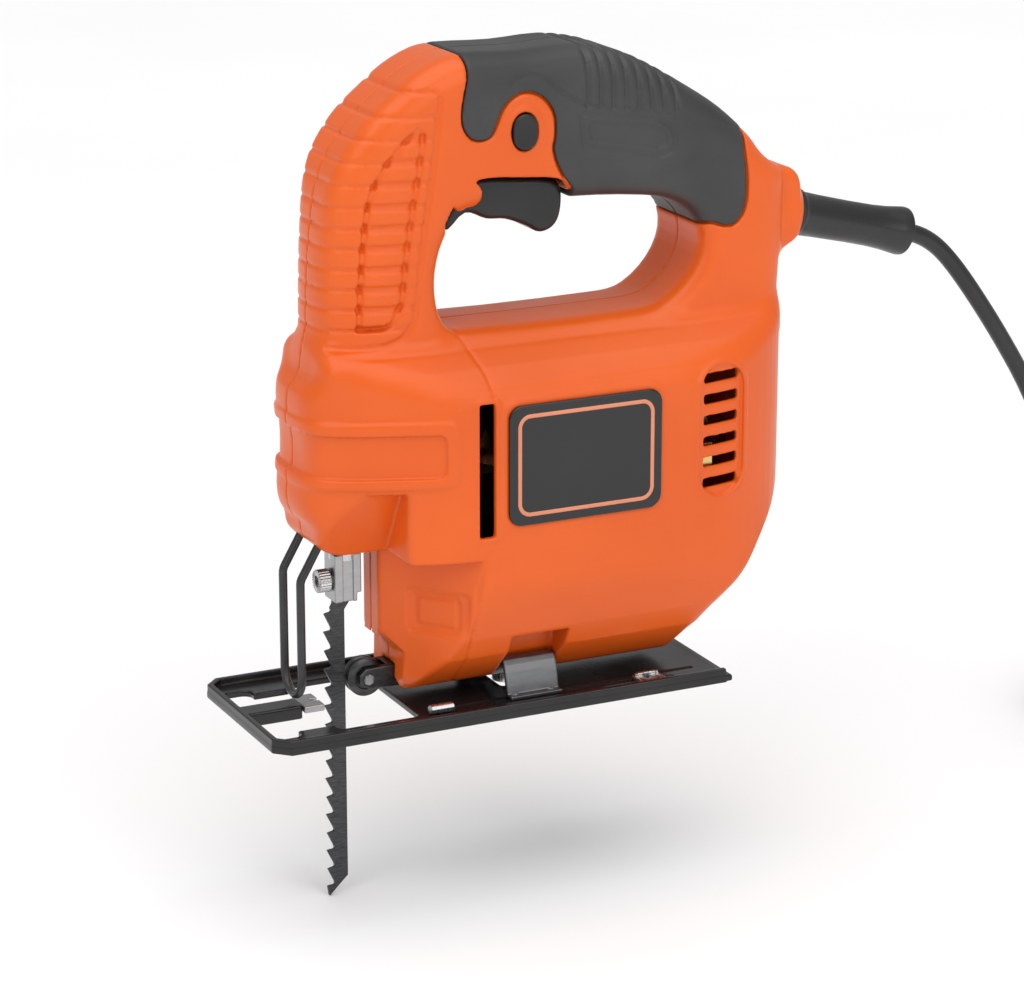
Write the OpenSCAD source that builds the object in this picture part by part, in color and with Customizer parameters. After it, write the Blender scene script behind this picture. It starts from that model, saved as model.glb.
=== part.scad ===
/* [Stroke and blade] */
// Distance from the sole's centre to the stroke axis
stroke_x = 40; // [38:0.5:42]
// Stroke of the plunger
stroke = 16; // [12:1:16]
// How far the blade tip stands below the sole at the bottom of the stroke
blade_below = 55.3; // [40:0.1:70]
// Blade thickness
blade_t = 1.2; // [1:0.1:1.6]
// Blade width from its back to the tooth tips
blade_w = 6; // [5:0.5:8]
// Distance between tooth tips
tooth_pitch = 5.4; // [3:0.1:6]

/* [Shoe] */
// Rear edge of the shoe
shoe_rear = -67.5; // [-72:0.5:-64]
// Front edge of the shoe
shoe_front = 71.5; // [70:0.5:76]
// Half the width of the shoe
shoe_half = 28; // [27:0.5:29]
// Sheet thickness of the shoe
shoe_t = 2; // [1.5:0.1:2.2]
// Height of the turned-up rims
rim_h = 4; // [3:0.1:4.2]
// Height of the bevel axis above the sole
bevel_z = 18; // [18:0.5:18.5]

/* [Housing] */
// Half the width of the motor pod
pod_half = 31; // [30:0.5:32]
// Half the width of the handle and the two columns
handle_half = 17; // [16:0.5:18]
// Wall thickness of the housing
wall = 2.5; // [2:0.1:3]
// Thickness of the rubber grip
grip_t = 2; // [1.5:0.1:2.5]

/* [Motor and gears] */
// Height of the motor axis
motor_z = 66; // [65.5:0.1:66.5]
// Teeth on the motor pinion
pinion_teeth = 8; // [8:1:8]
// Teeth on the gear wheel
gear_teeth = 48; // [48:1:48]
// Radius of the field core
field_r = 22.5; // [21:0.5:23]
// Radius of the armature core
armature_r = 13; // [12:0.5:13]

/* [Cord] */
// Diameter of the power cord
cord_d = 5.2; // [5:0.1:5.5]
// Downward tilt of the strain relief
relief_tilt = 14; // [12:1:16]

/* [Hidden] */

fine = 64;
run_gap = 0.05;

// Crank and gears
crank_r = stroke / 2;
gear_module = 0.75;
gear_pitch_r = gear_module * gear_teeth / 2;
pinion_pitch_r = gear_module * pinion_teeth / 2;
gear_z = motor_z + gear_pitch_r + pinion_pitch_r + 0.12;
yoke_z = gear_z - crank_r;
gear_x = 22;
gear_w = 6;
plate_x = 13;
plate_t = 4;
yoke_x = 31.6;
yoke_t = 4.9;
rod_r = 4;

// Bevel saddle: housing spine, channel and clearances, all about the bevel axis
spine_r = 12.5;
channel_r = 12.8;
channel_t = 1.5;
relief_r = 22.8;
saddle_x0 = -17.5;
saddle_x1 = -1.5;
bevel_screw_x = -9.5;
belly_r = 15.5;

// Outline points of the motor pod, nose and leg, seen from the side (x, z)
pod_side = [[32, 21], [32, 47], [44, 47], [49.5, 49.5], [52, 52.5], [52.6, 56], [55.5, 59.5], [57.2, 64],
  [56.6, 68], [55, 73], [54.8, 79], [55.5, 84], [56.3, 89.5], [55.5, 94], [52.5, 97.5], [51, 103],
  [50, 109], [-60, 109], [-88, 112], [-91, 108], [-91, 62], [-88, 50], [-80, 39.5], [-71, 28], [-62, 16.8],
  [-57, 4], [25, 4]];
// Half outline of the same body from above (x, y), front to rear
pod_half_plan = [[57.2, 0], [56.4, 7], [54, 12], [50, 16], [44, 19.5], [34, 23.5], [22, 28], [10, pod_half],
  [-46, pod_half], [-58, 29.5], [-70, 26.5], [-80, 22], [-87, 16], [-90, 9], [-91, 0]];
// Half section of the same body from behind (y, z), from the belly up
pod_half_section = [[20.3, 16.4], [23.6, 23], [26.3, 30], [29.2, 38], [pod_half, 50], [pod_half, 90],
  [28.8, 94.5], [23.5, 99.5], [18.5, 103], [11, 106.5], [0, 108.5]];
// Half outline of the narrow leg under the nose, from above (x, y)
leg_half_plan = [[32, 0], [32, 5], [26, 11], [12, 27.5], [8, pod_half + 1], [-100, pod_half + 1], [-100, 0]];

// Outline of the columns and the handle from the side (x, z)
upper_side = [[51, 96], [50.3, 113], [49.5, 127], [48.3, 138], [47, 147], [44.5, 154.5], [40.5, 161],
  [35.5, 167], [29, 172.5], [22, 177.8], [14, 181.5], [8, 182.3], [-9, 181.8], [-24, 182.4], [-35, 180.6],
  [-45, 176.7], [-60, 168], [-69.5, 161.7], [-79, 153.2], [-83.5, 147.6], [-89, 143.5], [-95, 141.6],
  [-97.5, 138.5], [-98.3, 134], [-97.5, 122.5], [-91, 116.5], [-91, 96]];
// Outline of the opening under the handle (x, z)
finger_hole = [[10, 107.5], [-44, 107.3], [-52, 109.5], [-59.5, 116], [-63, 124], [-61.5, 131.5],
  [-55, 136.8], [-45, 139.2], [-24, 140.8], [8, 140.8], [13, 136], [16.4, 128], [17.2, 119], [15, 110.5]];
// Half outline of the columns and the handle from above (x, y), front to rear
upper_half_plan = [[51.5, 0], [50.6, 5], [47.5, 10], [42, 13.5], [34, 15.6], [22, handle_half - 0.4],
  [8, handle_half], [-70, handle_half], [-82, 15.5], [-89, 12], [-91.5, 9.5], [-99, 9], [-99, 0]];
// Outline of the area that the rubber grip covers (x, z)
grip_area = [[9.5, 190], [8.8, 178], [10.2, 171], [10.6, 164.5], [8, 160.3], [4.5, 159.6], [1.6, 161],
  [-1.6, 167.5], [-5, 170.6], [-8.5, 171.4], [-13, 169.6], [-16.2, 165.3], [-16.2, 155], [-18.6, 148.6],
  [-22.4, 143.5], [-22.4, 136], [-60, 120], [-62.5, 129.9], [-71.5, 129], [-75.7, 133.4], [-76.4, 143],
  [-75.6, 150.6], [-77, 162], [-60, 190]];
// Outline of the trigger from the side (x, z)
trigger_side = [[14, 135.2], [11.8, 143], [8, 147.4], [3, 148.6], [-8, 146.4], [-17, 143], [-21.2, 138.6],
  [-19.4, 133.6], [-15, 131.8], [-10.6, 134], [-4.5, 136.4], [1, 137], [7.4, 139.2]];
trigger_pivot = [9, 144.6];
trigger_half = 12;
lock_at = [-7.6, 161];

// Screw posts that join the two housing halves (x, z, depth of the screw head from the split)
posts = [[24, 168, 12], [-83, 104, 9], [-66, 34, 18], [18, 36, 14], [-38, 97.5, 18], [6, 99.5, 16],
  [-64, 153, 12], [-34, 27, 20]];
// Finger guard: two wires that meet in a half circle below
guard_x = 55.2;
guard_half = 6.2;
guard_r = 1.2;
guard_lean = 30;
guard_bend_r = 4;
guard_bend_z = 39.8;
guard_slope_len = 11;
guard_low_z = 12.9;
vent_x0 = -68.5;
vent_x1 = -56.8;
vent_z0 = 59.9;
vent_pitch = 6;

// Cord: strain relief axis, then the route of the hanging length and of the lead to the plug
relief_from = [-98, 0, 127.5];
relief_len = 40;
relief_dir = [-cos(relief_tilt), 0, -sin(relief_tilt)];
relief_end = relief_from + relief_len * relief_dir;
floor_z = -55.5;
cord_route = [relief_end, [-141, 0, 116.6], [-145, 0, 114.7], [-149, 0, 111.8], [-153, 0, 107.8],
  [-158, 0, 101.8], [-165, 0, 92.4], [-173, 0, 80.8], [-181, 0, 68], [-188, 0.3, 54], [-193, 1.2, 40],
  [-196.5, 2.8, 26], [-199, 5, 12], [-201, 7.6, -2], [-203, 10.2, -14], [-206.5, 12.8, -26],
  [-211.5, 15.2, -36], [-218, 16.9, -44.5], [-226.5, 17.8, -50], [-236, 17.9, -52.4],
  [-243, 17.9, -52.5], [-250, 17.9, -52.1]];
coil_at = [-253, -17];
coil_mid_r = 29.5;
coil_layers = 3;
coil_pitch = 5.4;
coil_lift = 0.8;
coil_out_r = coil_mid_r + coil_pitch + cord_d / 2;
coil_in_r = coil_mid_r - coil_pitch - cord_d / 2;
coil_h = coil_layers * cord_d + 0.4;
// The lead leaves the top outer turn, bends in over the coil and rises to the plug lying on it
lead_bend_r = 21;
lead_from = 69.1;
lead_turn = 110.9;
lead_rise = 9.8;
lead_turn_r = coil_mid_r + coil_pitch;
lead_centre = coil_at + (lead_turn_r - lead_bend_r) * [cos(lead_from), sin(lead_from)];
lead_len = lead_bend_r * lead_turn * PI / 180;
lead_low_z = -41.6;
function lead_angle(s) = lead_from + s / (s < 0 ? lead_turn_r : lead_bend_r) * 180 / PI;
function lead_z(s) = lead_low_z + lead_rise * (1 - cos(180 * min(max((s + 25) / 60, 0), 1))) / 2;
function lead_point(s) = (s < 0 ? coil_at : lead_centre)
  + (s < 0 ? lead_turn_r : lead_bend_r) * [cos(lead_angle(s)), sin(lead_angle(s))];
lead_route = [for (i = [-2:5]) let (s = i * lead_len / 5) [each lead_point(s), lead_z(s)]];
plug_at = lead_route[len(lead_route) - 1];
plug_len = 36;
plug_w = 35;
plug_t = 13.6;

// Helpers --------------------------------------------------------------------------------------
function mirrored(p) = [for (i = [len(p) - 1:-1:0]) if (p[i][1] > 0) [p[i][0], -p[i][1]]];
function full_plan(p) = concat(p, mirrored(p));
function full_section(p) = concat(p, [for (i = [len(p) - 2:-1:0]) [-p[i][0], p[i][1]]],
  [for (a = [-45:11.25:45]) [belly_r * sin(a), bevel_z - belly_r * cos(a)]]);

// Rings of a swept tube: each ring's frame follows the route without twisting
function unit(v) = v / norm(v);
function heading(p, i) = unit(p[min(i + 1, len(p) - 1)] - p[max(i - 1, 0)]);
function carried(n, t) = unit(n - (n * t) * t);
function normals(p, i = 0, n = [0, 1, 0.01], out = []) = i == len(p) ? out :
  normals(p, i + 1, carried(n, heading(p, i)), concat(out, [carried(n, heading(p, i))]));
function ring(c, t, n, r, sides) =
  [for (k = [0:sides - 1]) c + r * cos(360 * k / sides) * n + r * sin(360 * k / sides) * cross(t, n)];

module tube(p, r, sides) {
  n = normals(p);
  last = len(p) - 1;
  points = [for (i = [0:last]) each ring(p[i], heading(p, i), n[i], r, sides)];
  walls = [for (i = [0:last - 1]) for (k = [0:sides - 1])
    [i * sides + k, i * sides + (k + 1) % sides, (i + 1) * sides + (k + 1) % sides, (i + 1) * sides + k]];
  caps = [[for (k = [sides - 1:-1:0]) k], [for (k = [0:sides - 1]) last * sides + k]];
  polyhedron(points, [for (f = concat(walls, caps)) [for (k = [len(f) - 1:-1:0]) f[k]]], convexity = 6);
}

module along_y(w) {
  rotate([90, 0, 0]) linear_extrude(w, center = true) children();
}

module along_x(x0, x1) {
  translate([x0, 0, 0]) rotate([90, 0, 90]) linear_extrude(x1 - x0) children();
}

module rod_x(x0, x1, r, y = 0, z = 0) {
  translate([x0, y, z]) rotate([0, 90, 0]) cylinder(h = x1 - x0, r = r, $fn = fine);
}

module rod_y(y0, y1, r, x = 0, z = 0) {
  translate([x, y0, z]) rotate([-90, 0, 0]) cylinder(h = y1 - y0, r = r, $fn = fine);
}

module rod_z(z0, z1, r, x = 0, y = 0) {
  translate([x, y, z0]) cylinder(h = z1 - z0, r = r, $fn = fine);
}

module box(x0, x1, y0, y1, z0, z1) {
  translate([x0, y0, z0]) cube([x1 - x0, y1 - y0, z1 - z0]);
}

module stadium(w, h) {
  square([w, h - w], center = true);
  for (s = [-1, 1]) translate([0, s * (h - w) / 2]) circle(d = w, $fn = 32);
}

module pair() {
  children();
  mirror([0, 1, 0]) children();
}

// Straight-sided teeth, narrow enough to pass each other with backlash
module gear_outline(teeth, pitch_r, tip, root, phase = 0) {
  step = 360 / teeth;
  polygon([for (i = [0:teeth - 1]) each [
    (pitch_r - root) * [cos((i - 0.3) * step + phase), sin((i - 0.3) * step + phase)],
    (pitch_r + tip) * [cos((i - 0.1) * step + phase), sin((i - 0.1) * step + phase)],
    (pitch_r + tip) * [cos((i + 0.1) * step + phase), sin((i + 0.1) * step + phase)],
    (pitch_r - root) * [cos((i + 0.3) * step + phase), sin((i + 0.3) * step + phase)]]]);
}

// Housing ------------------------------------------------------------------------------------------
// Left half of a plan outline; a cavity runs a little past the split
module left_of_split(g) {
  intersection() {
    children();
    translate([-150, g > 0 ? -4 : 0]) square([300, 100]);
  }
}

// Motor pod, nose and leg of the left half, with every outer face moved in by g
module pod(g) {
  difference() {
    intersection() {
      along_y(2 * pod_half + 10) offset(delta = -g) polygon(pod_side);
      linear_extrude(120) left_of_split(g) offset(delta = -g) polygon(full_plan(pod_half_plan));
      along_x(-95, 60) offset(delta = -g) polygon(full_section(pod_half_section));
    }
    translate([0, 0, -1]) linear_extrude(48 + g) difference() {
      translate([-40, -50]) square([110, 100]);
      offset(delta = -g) polygon(full_plan(leg_half_plan));
    }
    pair() along_x(31, 60) offset(delta = g) polygon([[8, 45], [42, 45], [42, 67], [20, 67]]);
  }
}

module upper_outline() {
  difference() {
    polygon(upper_side);
    polygon(finger_hole);
  }
}

// Front column, handle and rear column of the left half, with every outer face moved in by g
module upper(g) {
  intersection() {
    union() {
      along_y(2 * (handle_half - 7 - g)) offset(delta = -g) upper_outline();
      along_y(2 * (handle_half - 2.5 - g)) offset(delta = -g - 1.5) upper_outline();
      along_y(2 * (handle_half - g)) offset(delta = -g - 5) upper_outline();
    }
    linear_extrude(200) left_of_split(g) offset(delta = -g) polygon(full_plan(upper_half_plan));
  }
}

module grip_skin() {
  intersection() {
    difference() {
      upper(0);
      upper(grip_t);
    }
    along_y(60) polygon(grip_area);
  }
}

// Inner structure: bearing wall, field rings, plate slot, bush blocks, posts and the bevel spine
module ribs() {
  box(-76, -69, -5, 40, 20, 108);
  box(-62.7, -52.3, 14, 40, 59.7, 72.3);
  box(-44, -41.5, -5, 40, 30, 108);
  box(-13, -10.5, -5, 40, 30, 108);
  box(-1.2, 1.2, -5, 40, 30, 108);
  box(11, 19, -5, 40, 46, 106);
  box(32.5, 51, -5, 30, 63.8, 71.2);
  box(33, 51, -5, 17, 112, 120);
  box(-32, -30, -5, 20, 150, 180);
  box(0, 2, -5, 20, 152.5, 180);
  box(-45.5, -42.5, -5, 20, 140, 165);
  box(-88, -80, -5, 20, 112, 122.8);
  for (p = posts) rod_y(-5, 40, p[2] > 17 ? 4.6 : 4.2, p[0], p[1]);
  intersection() {
    rod_x(saddle_x0 - 3, saddle_x1 + 3, relief_r + 2.2, 0, bevel_z);
    box(-40, 40, -5, 40, 0, 31);
  }
}

// Spaces that the inner parts take out of the ribs
module inner_spaces() {
  rod_x(-80, 33, 8, 0, motor_z);
  rod_x(-66, -47, 12.5, 0, motor_z);
  box(-60.7, -54.3, 9.8, 26, motor_z - 4.8, motor_z + 4.8);
  rod_x(-47, 12, field_r, 0, motor_z);
  rod_x(-1, 1, 24, 0, motor_z);
  rod_x(1.2, 11.2, 21.6, 0, motor_z);
  along_x(plate_x, plate_x + plate_t) plate_outline();
  box(10.9, 19.1, -5, 20, 52, 100);
  rod_x(19, 31, 19.6, 0, gear_z);
  box(31, 36.9, -5, 15.6, 72, 102.5);
  rod_z(46, 141, 4.6, stroke_x, 0);
  rod_z(63.8, 71.2, 6.5, stroke_x, 0);
  rod_z(112, 120, 6.5, stroke_x, 0);
  box(-52, -36, -5, 5, 147, 159);
  box(-87.5, -80.5, -5, 8.8, 122.8, 126);
  clamp_screw_space();
}

module housing_half(is_left) {
  difference() {
    union() {
      pod(0);
      difference() {
        upper(0);
        grip_skin();
      }
    }
    difference() {
      union() {
        pod(wall);
        upper(grip_t + wall);
      }
      ribs();
    }
    inner_spaces();
    // Bevel relief round the spine
    intersection() {
      difference() {
        rod_x(saddle_x0 - 0.7, saddle_x1 + 0.7, relief_r, 0, bevel_z);
        rod_x(saddle_x0 - 1, saddle_x1 + 1, spine_r, 0, bevel_z);
      }
      box(-40, 40, -5, 40, -1, 28.4);
    }
    rod_z(0, 13, 2.5, bevel_screw_x, 0);
    // Mouth round the clamp, the fork's seat and the sockets of the finger guard
    box(34.3, 49.6, -5, 4.8, 40, 63.8);
    box(18, 33, -5, 4.2, 5.6, 12);
    guard_slope(guard_r);
    // Trigger window with ears left round the pivot, pin seat, lock-on hole
    for (a = [0, 4, 8.5]) along_y(2 * trigger_half + 0.8) translate(trigger_pivot) rotate(-a)
      translate(-trigger_pivot) offset(delta = 0.6) polygon(trigger_side);
    along_y(60) difference() {
      offset(delta = 0.6) polygon(trigger_side);
      translate(trigger_pivot) circle(3.8, $fn = 32);
    }
    rod_y(-5, 14, 1.5, trigger_pivot[0], trigger_pivot[1]);
    if (is_left) translate([0, 20, 0]) along_y(24) translate(lock_at) stadium(7.8, 10.4);
    // Air slots and the badge recess
    for (i = [0:5]) translate([0, 0, vent_z0 + i * vent_pitch]) box(vent_x0, vent_x1, 10, 40, -1.1, 1.1);
    box(7.6, 12.2, 24, 40, 53.5, 91);
    badge(30, 40, 0.01);
    // Gland
    relief_sleeve();
    // Screws
    for (p = posts) {
      if (is_left) rod_y(-5, 8, 1.6, p[0], p[1]);
      if (!is_left) rod_y(-5, 40, 1.6, p[0], p[1]);
      if (!is_left) rod_y(p[2] - 2.4, 40, 3.1, p[0], p[1]);
    }
  }
}

module badge(y0, y1, gap) {
  translate([0, (y0 + y1) / 2, 0]) along_y(y1 - y0) translate([-19.1, 73])
    offset(r = 4 + gap, $fn = 32) square([38.6, 26], center = true);
}

module left_housing() {
  color("orange") housing_half(true);
}

module right_housing() {
  color("orange") mirror([0, 1, 0]) housing_half(false);
}

module left_grip() {
  color("dimgray") grip_skin();
}

module right_grip() {
  color("dimgray") mirror([0, 1, 0]) grip_skin();
}

module left_badge() {
  color("black") badge(30, 31.3, 0);
}

module right_badge() {
  color("black") mirror([0, 1, 0]) badge(30, 31.3, 0);
}

module housing_screws() {
  color("silver") for (p = posts) difference() {
    union() {
      rod_y(-p[2], -p[2] + 2.4, 3.1, p[0], p[1]);
      rod_y(-p[2] + 2.3, 7.9, 1.6, p[0], p[1]);
    }
    for (a = [0, 90]) translate([p[0], -p[2], p[1]]) rotate([0, a, 0]) cube([3.4, 2, 0.8], center = true);
  }
}

// Handle controls --------------------------------------------------------------------------------------
module trigger() {
  color("dimgray") difference() {
    union() {
      along_y(2 * trigger_half) polygon(trigger_side);
      box(-12, -3, -3, 3, 140, 149);
    }
    rod_y(-20, 20, 1.55, trigger_pivot[0], trigger_pivot[1]);
  }
}

module trigger_pin() {
  color("silver") rod_y(-14, 14, 1.5, trigger_pivot[0], trigger_pivot[1]);
}

module trigger_spring() {
  color("silver") difference() {
    rod_z(149.05, 152.35, 2.4, -7.5, 0);
    rod_z(148, 153, 1.8, -7.5, 0);
  }
}

module lock_button() {
  color("dimgray") {
    translate([0, 14.85, 0]) along_y(5.1) translate(lock_at) stadium(7.2, 9.8);
    translate([0, 11.8, 0]) along_y(1.1) translate(lock_at) stadium(10, 12.6);
  }
}

module lock_spring() {
  color("silver") difference() {
    rod_y(8.1, 11.2, 2.6, lock_at[0], lock_at[1]);
    rod_y(8, 12, 2, lock_at[0], lock_at[1]);
  }
}

module trigger_switch() {
  color("dimgray") difference() {
    box(-30, 0, -8, 8, 152.5, 168);
    for (x = [-26, -20]) rod_z(160, 169, 1.4, x, 4);
  }
  color("silver") for (x = [-26, -20]) rod_z(158, 168.6, 1.4, x, 4);
}

module noise_capacitor() {
  color("khaki") box(-52, -36, -5, 5, 147, 159);
}

// Cord -------------------------------------------------------------------------------------------------
module on_relief_axis(from) {
  translate(relief_from + from * relief_dir) rotate([0, -90 - relief_tilt, 0]) children();
}

module relief_sleeve() {
  on_relief_axis(-16) cylinder(h = 12, r = 4.5, $fn = fine);
  on_relief_axis(-4.5) cylinder(h = 2.5, r = 7.4, $fn = fine);
  on_relief_axis(-2.1) cylinder(h = 3, r = 6.3, $fn = fine);
}

module strain_relief() {
  color("dimgray") {
    relief_sleeve();
    on_relief_axis(0.5) cylinder(h = relief_len - 3.4, r1 = 6.3, r2 = 5.3, $fn = fine);
    on_relief_axis(relief_len - 3) cylinder(h = 3, r = 7, $fn = fine);
  }
}

module power_cord() {
  color("black") tube(cord_route, cord_d / 2, 8);
}

module cord_coil() {
  color("black") translate([coil_at[0], coil_at[1], floor_z + coil_lift])
    rotate_extrude($fn = 48) translate([coil_in_r, 0]) square([coil_out_r - coil_in_r, coil_h]);
}

module plug_lead() {
  color("black") tube(lead_route, cord_d / 2, 8);
}

module cord_tie() {
  tie_h = coil_h + 2 * coil_lift;
  color("dimgray") translate([coil_at[0] + coil_mid_r, coil_at[1], floor_z]) difference() {
    translate([-9, -3, 0]) cube([18, 6, tie_h]);
    translate([-8.2, -4, coil_lift]) cube([16.4, 8, coil_h]);
  }
}

module plug_body() {
  color("black") difference() {
    translate(plug_at) rotate([90, 0, 0]) linear_extrude(plug_len) hull() {
      for (s = [-1, 1]) translate([s * (plug_w - plug_t) / 2, 0]) circle(d = plug_t, $fn = 32);
    }
    for (s = [-1, 1]) translate(plug_at) rotate([0, 0, s * 24]) translate([s * 27, -8, 0])
      cube([30, 40, 30], center = true);
  }
}

module plug_pins() {
  color("gold") for (s = [-1, 1]) translate([plug_at[0] + s * 9.2, plug_at[1] - plug_len - 19, plug_at[2]])
    rotate([-90, 0, 0]) cylinder(h = 19, r = 2, $fn = 32);
}

module cord_clamp() {
  color("dimgray") difference() {
    box(-87.5, -80.5, -8.8, 8.8, 122.8, 126);
    pair() rod_z(122, 127, 1.6, -84, 6.8);
    relief_sleeve();
  }
}

module clamp_screw_space() {
  rod_z(117.5, 126, 1.6, -84, 6.8);
  rod_z(126, 127.6, 2.6, -84, 6.8);
}

module cord_clamp_screws() {
  color("silver") pair() clamp_screw_space();
}

// Saw side ----------------------------------------------------------------------------------------------
module guard_slope(r) {
  translate([guard_x - guard_bend_r * (1 - cos(guard_lean)), guard_half,
    guard_bend_z + guard_bend_r * sin(guard_lean)]) rotate([0, -guard_lean, 0])
    translate([0, 0, -0.3]) cylinder(h = guard_slope_len, r = r, $fn = 32);
}

module finger_guard() {
  color("silver") {
    pair() {
      guard_slope(guard_r);
      translate([guard_x - guard_bend_r, guard_half, guard_bend_z]) rotate([90, 0, 0])
        rotate_extrude(angle = guard_lean, $fn = 32) translate([guard_bend_r, 0])
          circle(guard_r + 0.06, $fn = 32);
      translate([guard_x, guard_half, guard_low_z - 0.4])
        cylinder(h = guard_bend_z - guard_low_z + 0.7, r = guard_r, $fn = 32);
    }
    translate([guard_x, 0, guard_low_z]) rotate([0, 0, 90]) rotate([-90, 0, 0])
      rotate_extrude(angle = 180, $fn = 32) translate([guard_half, 0]) circle(guard_r + 0.06, $fn = 32);
  }
}

module blade_clamp() {
  color("silver") difference() {
    box(stroke_x - 4, stroke_x + 4, -4, 4, 32, 46);
    rod_z(44, 47, rod_r, stroke_x, 0);
    box(stroke_x - 1.5, stroke_x + 3.5, -blade_t / 2, blade_t / 2, 31, 43);
    rod_x(stroke_x + 3, stroke_x + 5, 2.5, 0, 38);
  }
}

module clamp_screw() {
  color("silver") difference() {
    union() {
      rod_x(stroke_x + 3.55, stroke_x + 4.3, 2.4, 0, 38);
      rod_x(stroke_x + 4.3, stroke_x + 8, 3.2, 0, 38);
    }
    translate([stroke_x + 6, 0, 38]) rotate([0, 90, 0]) cylinder(h = 3, r = 1.7, $fn = 6);
  }
}

module saw_blade() {
  teeth = round((blade_below + 31) / tooth_pitch);
  depth = 2.1;
  first_tip = 2.6 - blade_below;
  color("gray") along_y(blade_t) polygon(concat(
    [[stroke_x - 1.4, 42.8], [stroke_x - 1.4, 31], [stroke_x, 29], [stroke_x, 5.4 - blade_below],
     [stroke_x + blade_w - 0.4, -blade_below]],
    [for (i = [0:teeth - 1]) each [
      [stroke_x + blade_w, first_tip + i * tooth_pitch],
      [stroke_x + blade_w - depth, first_tip + 0.3 + i * tooth_pitch],
      [stroke_x + blade_w - depth + 0.2, first_tip + (i + 0.28) * tooth_pitch]]],
    [[stroke_x + 3.4, 31], [stroke_x + 3.4, 42.8]]));
}

module support_roller() {
  color("silver") difference() {
    rod_y(-2.2, 2.2, 5.5, stroke_x - 5.7, 8.6);
    rod_y(-3, 3, 1.55, stroke_x - 5.7, 8.6);
  }
}

module roller_pin() {
  color("silver") rod_y(-4.2, 4.2, 1.5, stroke_x - 5.7, 8.6);
}

module roller_fork() {
  color("silver") difference() {
    along_y(8.4) polygon([[18, 12], [18, 5.6], [34, 5.6], [37, 7.4], [37, 10], [35, 11.8], [30, 12]]);
    box(28.4, 40, -2.5, 2.5, 0, 20);
    rod_y(-5, 5, 1.5, stroke_x - 5.7, 8.6);
  }
}

// Shoe ------------------------------------------------------------------------------------------------
module shoe_outline() {
  polygon([[shoe_rear, -shoe_half], [shoe_front - 4, -shoe_half], [shoe_front, 4 - shoe_half],
    [shoe_front, shoe_half - 4], [shoe_front - 4, shoe_half], [shoe_rear, shoe_half]]);
}

module shoe() {
  rim_t = 1.7;
  color("black") difference() {
    union() {
      linear_extrude(shoe_t) shoe_outline();
      linear_extrude(rim_h) difference() {
        shoe_outline();
        offset(delta = -rim_t) shoe_outline();
        translate([shoe_rear - 1, -shoe_half]) square([rim_t + 1.2, 2 * shoe_half]);
      }
      box(54, shoe_front - 1, -3.5, 3.5, 0, rim_h);
    }
    // Front windows either side of the centre bar
    difference() {
      union() {
        box(26, 50, -19.8, 19.8, -1, 5);
        box(49, 61.2, -16, 16, -1, 5);
        box(61, 69.4, -20, 20, -1, 5);
      }
      box(54, shoe_front, -3.5, 3.5, shoe_t, rim_h + 1);
    }
    // Room for the bevel screw's head, and slots for a parallel guide
    box(-14.5, -4.5, -8, 8, -1, 5);
    pair() box(-52, -30, 21, 23.4, -1, 3);
    saddle_holes(1);
  }
}

module saddle_holes(r) {
  for (x = [saddle_x0 + 2.4, saddle_x1 - 2.4]) pair() rod_z(-1, 5, r, x, 18.9);
}

module shoe_saddle() {
  outer = channel_r + channel_t;
  end_y = channel_r * sin(75);
  end_z = bevel_z - channel_r * cos(75);
  color("silver") difference() {
    union() {
      intersection() {
        difference() {
          rod_x(saddle_x0, saddle_x1, outer, 0, bevel_z);
          rod_x(saddle_x0 - 1, saddle_x1 + 1, channel_r, 0, bevel_z);
        }
        box(-40, 40, -40, 40, 0, end_z);
      }
      pair() {
        box(saddle_x0, saddle_x1, 15.3, 17, shoe_t, end_z);
        box(saddle_x0, saddle_x1, end_y + 0.9, 17, end_z - channel_t, end_z);
        box(saddle_x0, saddle_x1, 15.3, 20.6, shoe_t, 3);
      }
    }
    box(bevel_screw_x - 2.8, bevel_screw_x + 2.8, -12.2, 12.2, 0, 11.6);
    saddle_holes(1);
  }
}

module saddle_rivets() {
  color("silver") for (x = [saddle_x0 + 2.4, saddle_x1 - 2.4]) pair() {
    rod_z(0.3, 3, 1, x, 18.9);
    rod_z(3, 3.45, 1.7, x, 18.9);
  }
}

module bevel_screws() {
  color("silver") difference() {
    union() {
      rod_z(2.2, 12.8, 2.5, bevel_screw_x, 0);
      rod_z(1, 3.55, 4, bevel_screw_x, 0);
    }
    translate([bevel_screw_x, 0, 0.5]) cylinder(h = 2.2, r = 2.2, $fn = 6);
  }
}

module shoe_insert() {
  color("silver") difference() {
    box(47.9, 54, -5, 5, shoe_t, rim_h);
    box(47, 50.5, -1, 1, 0, 6);
  }
}

module guide_clip() {
  color("silver") pair() difference() {
    box(-48, -39.5, 19.5, 25.5, shoe_t, 3.3);
    box(-45, -42.5, 21, 23.4, 0, 6);
  }
}

module guide_pin() {
  color("silver") pair() rod_x(16.2, 23.5, 1.4, 20.5, 3.4);
}

// Drive ------------------------------------------------------------------------------------------------
module plunger_rod() {
  color("silver") rod_z(44, 122, rod_r, stroke_x, 0);
}

module scotch_yoke() {
  color("silver") difference() {
    along_x(yoke_x, yoke_x + yoke_t) translate([0, yoke_z]) rotate(90) stadium(13, 30);
    along_x(yoke_x - 1, yoke_x + 6) translate([0, yoke_z]) rotate(90) stadium(7.4, 23.8);
    rod_z(60, 110, rod_r, stroke_x, 0);
  }
}

module bush(z0, z1) {
  difference() {
    rod_z(z0, z1, 6.5, stroke_x, 0);
    rod_z(z0 - 1, z1 + 1, rod_r + run_gap, stroke_x, 0);
  }
}

module upper_bush() {
  color("gold") bush(112, 120);
}

module lower_bush() {
  color("gold") bush(63.8, 71.2);
}

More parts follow.
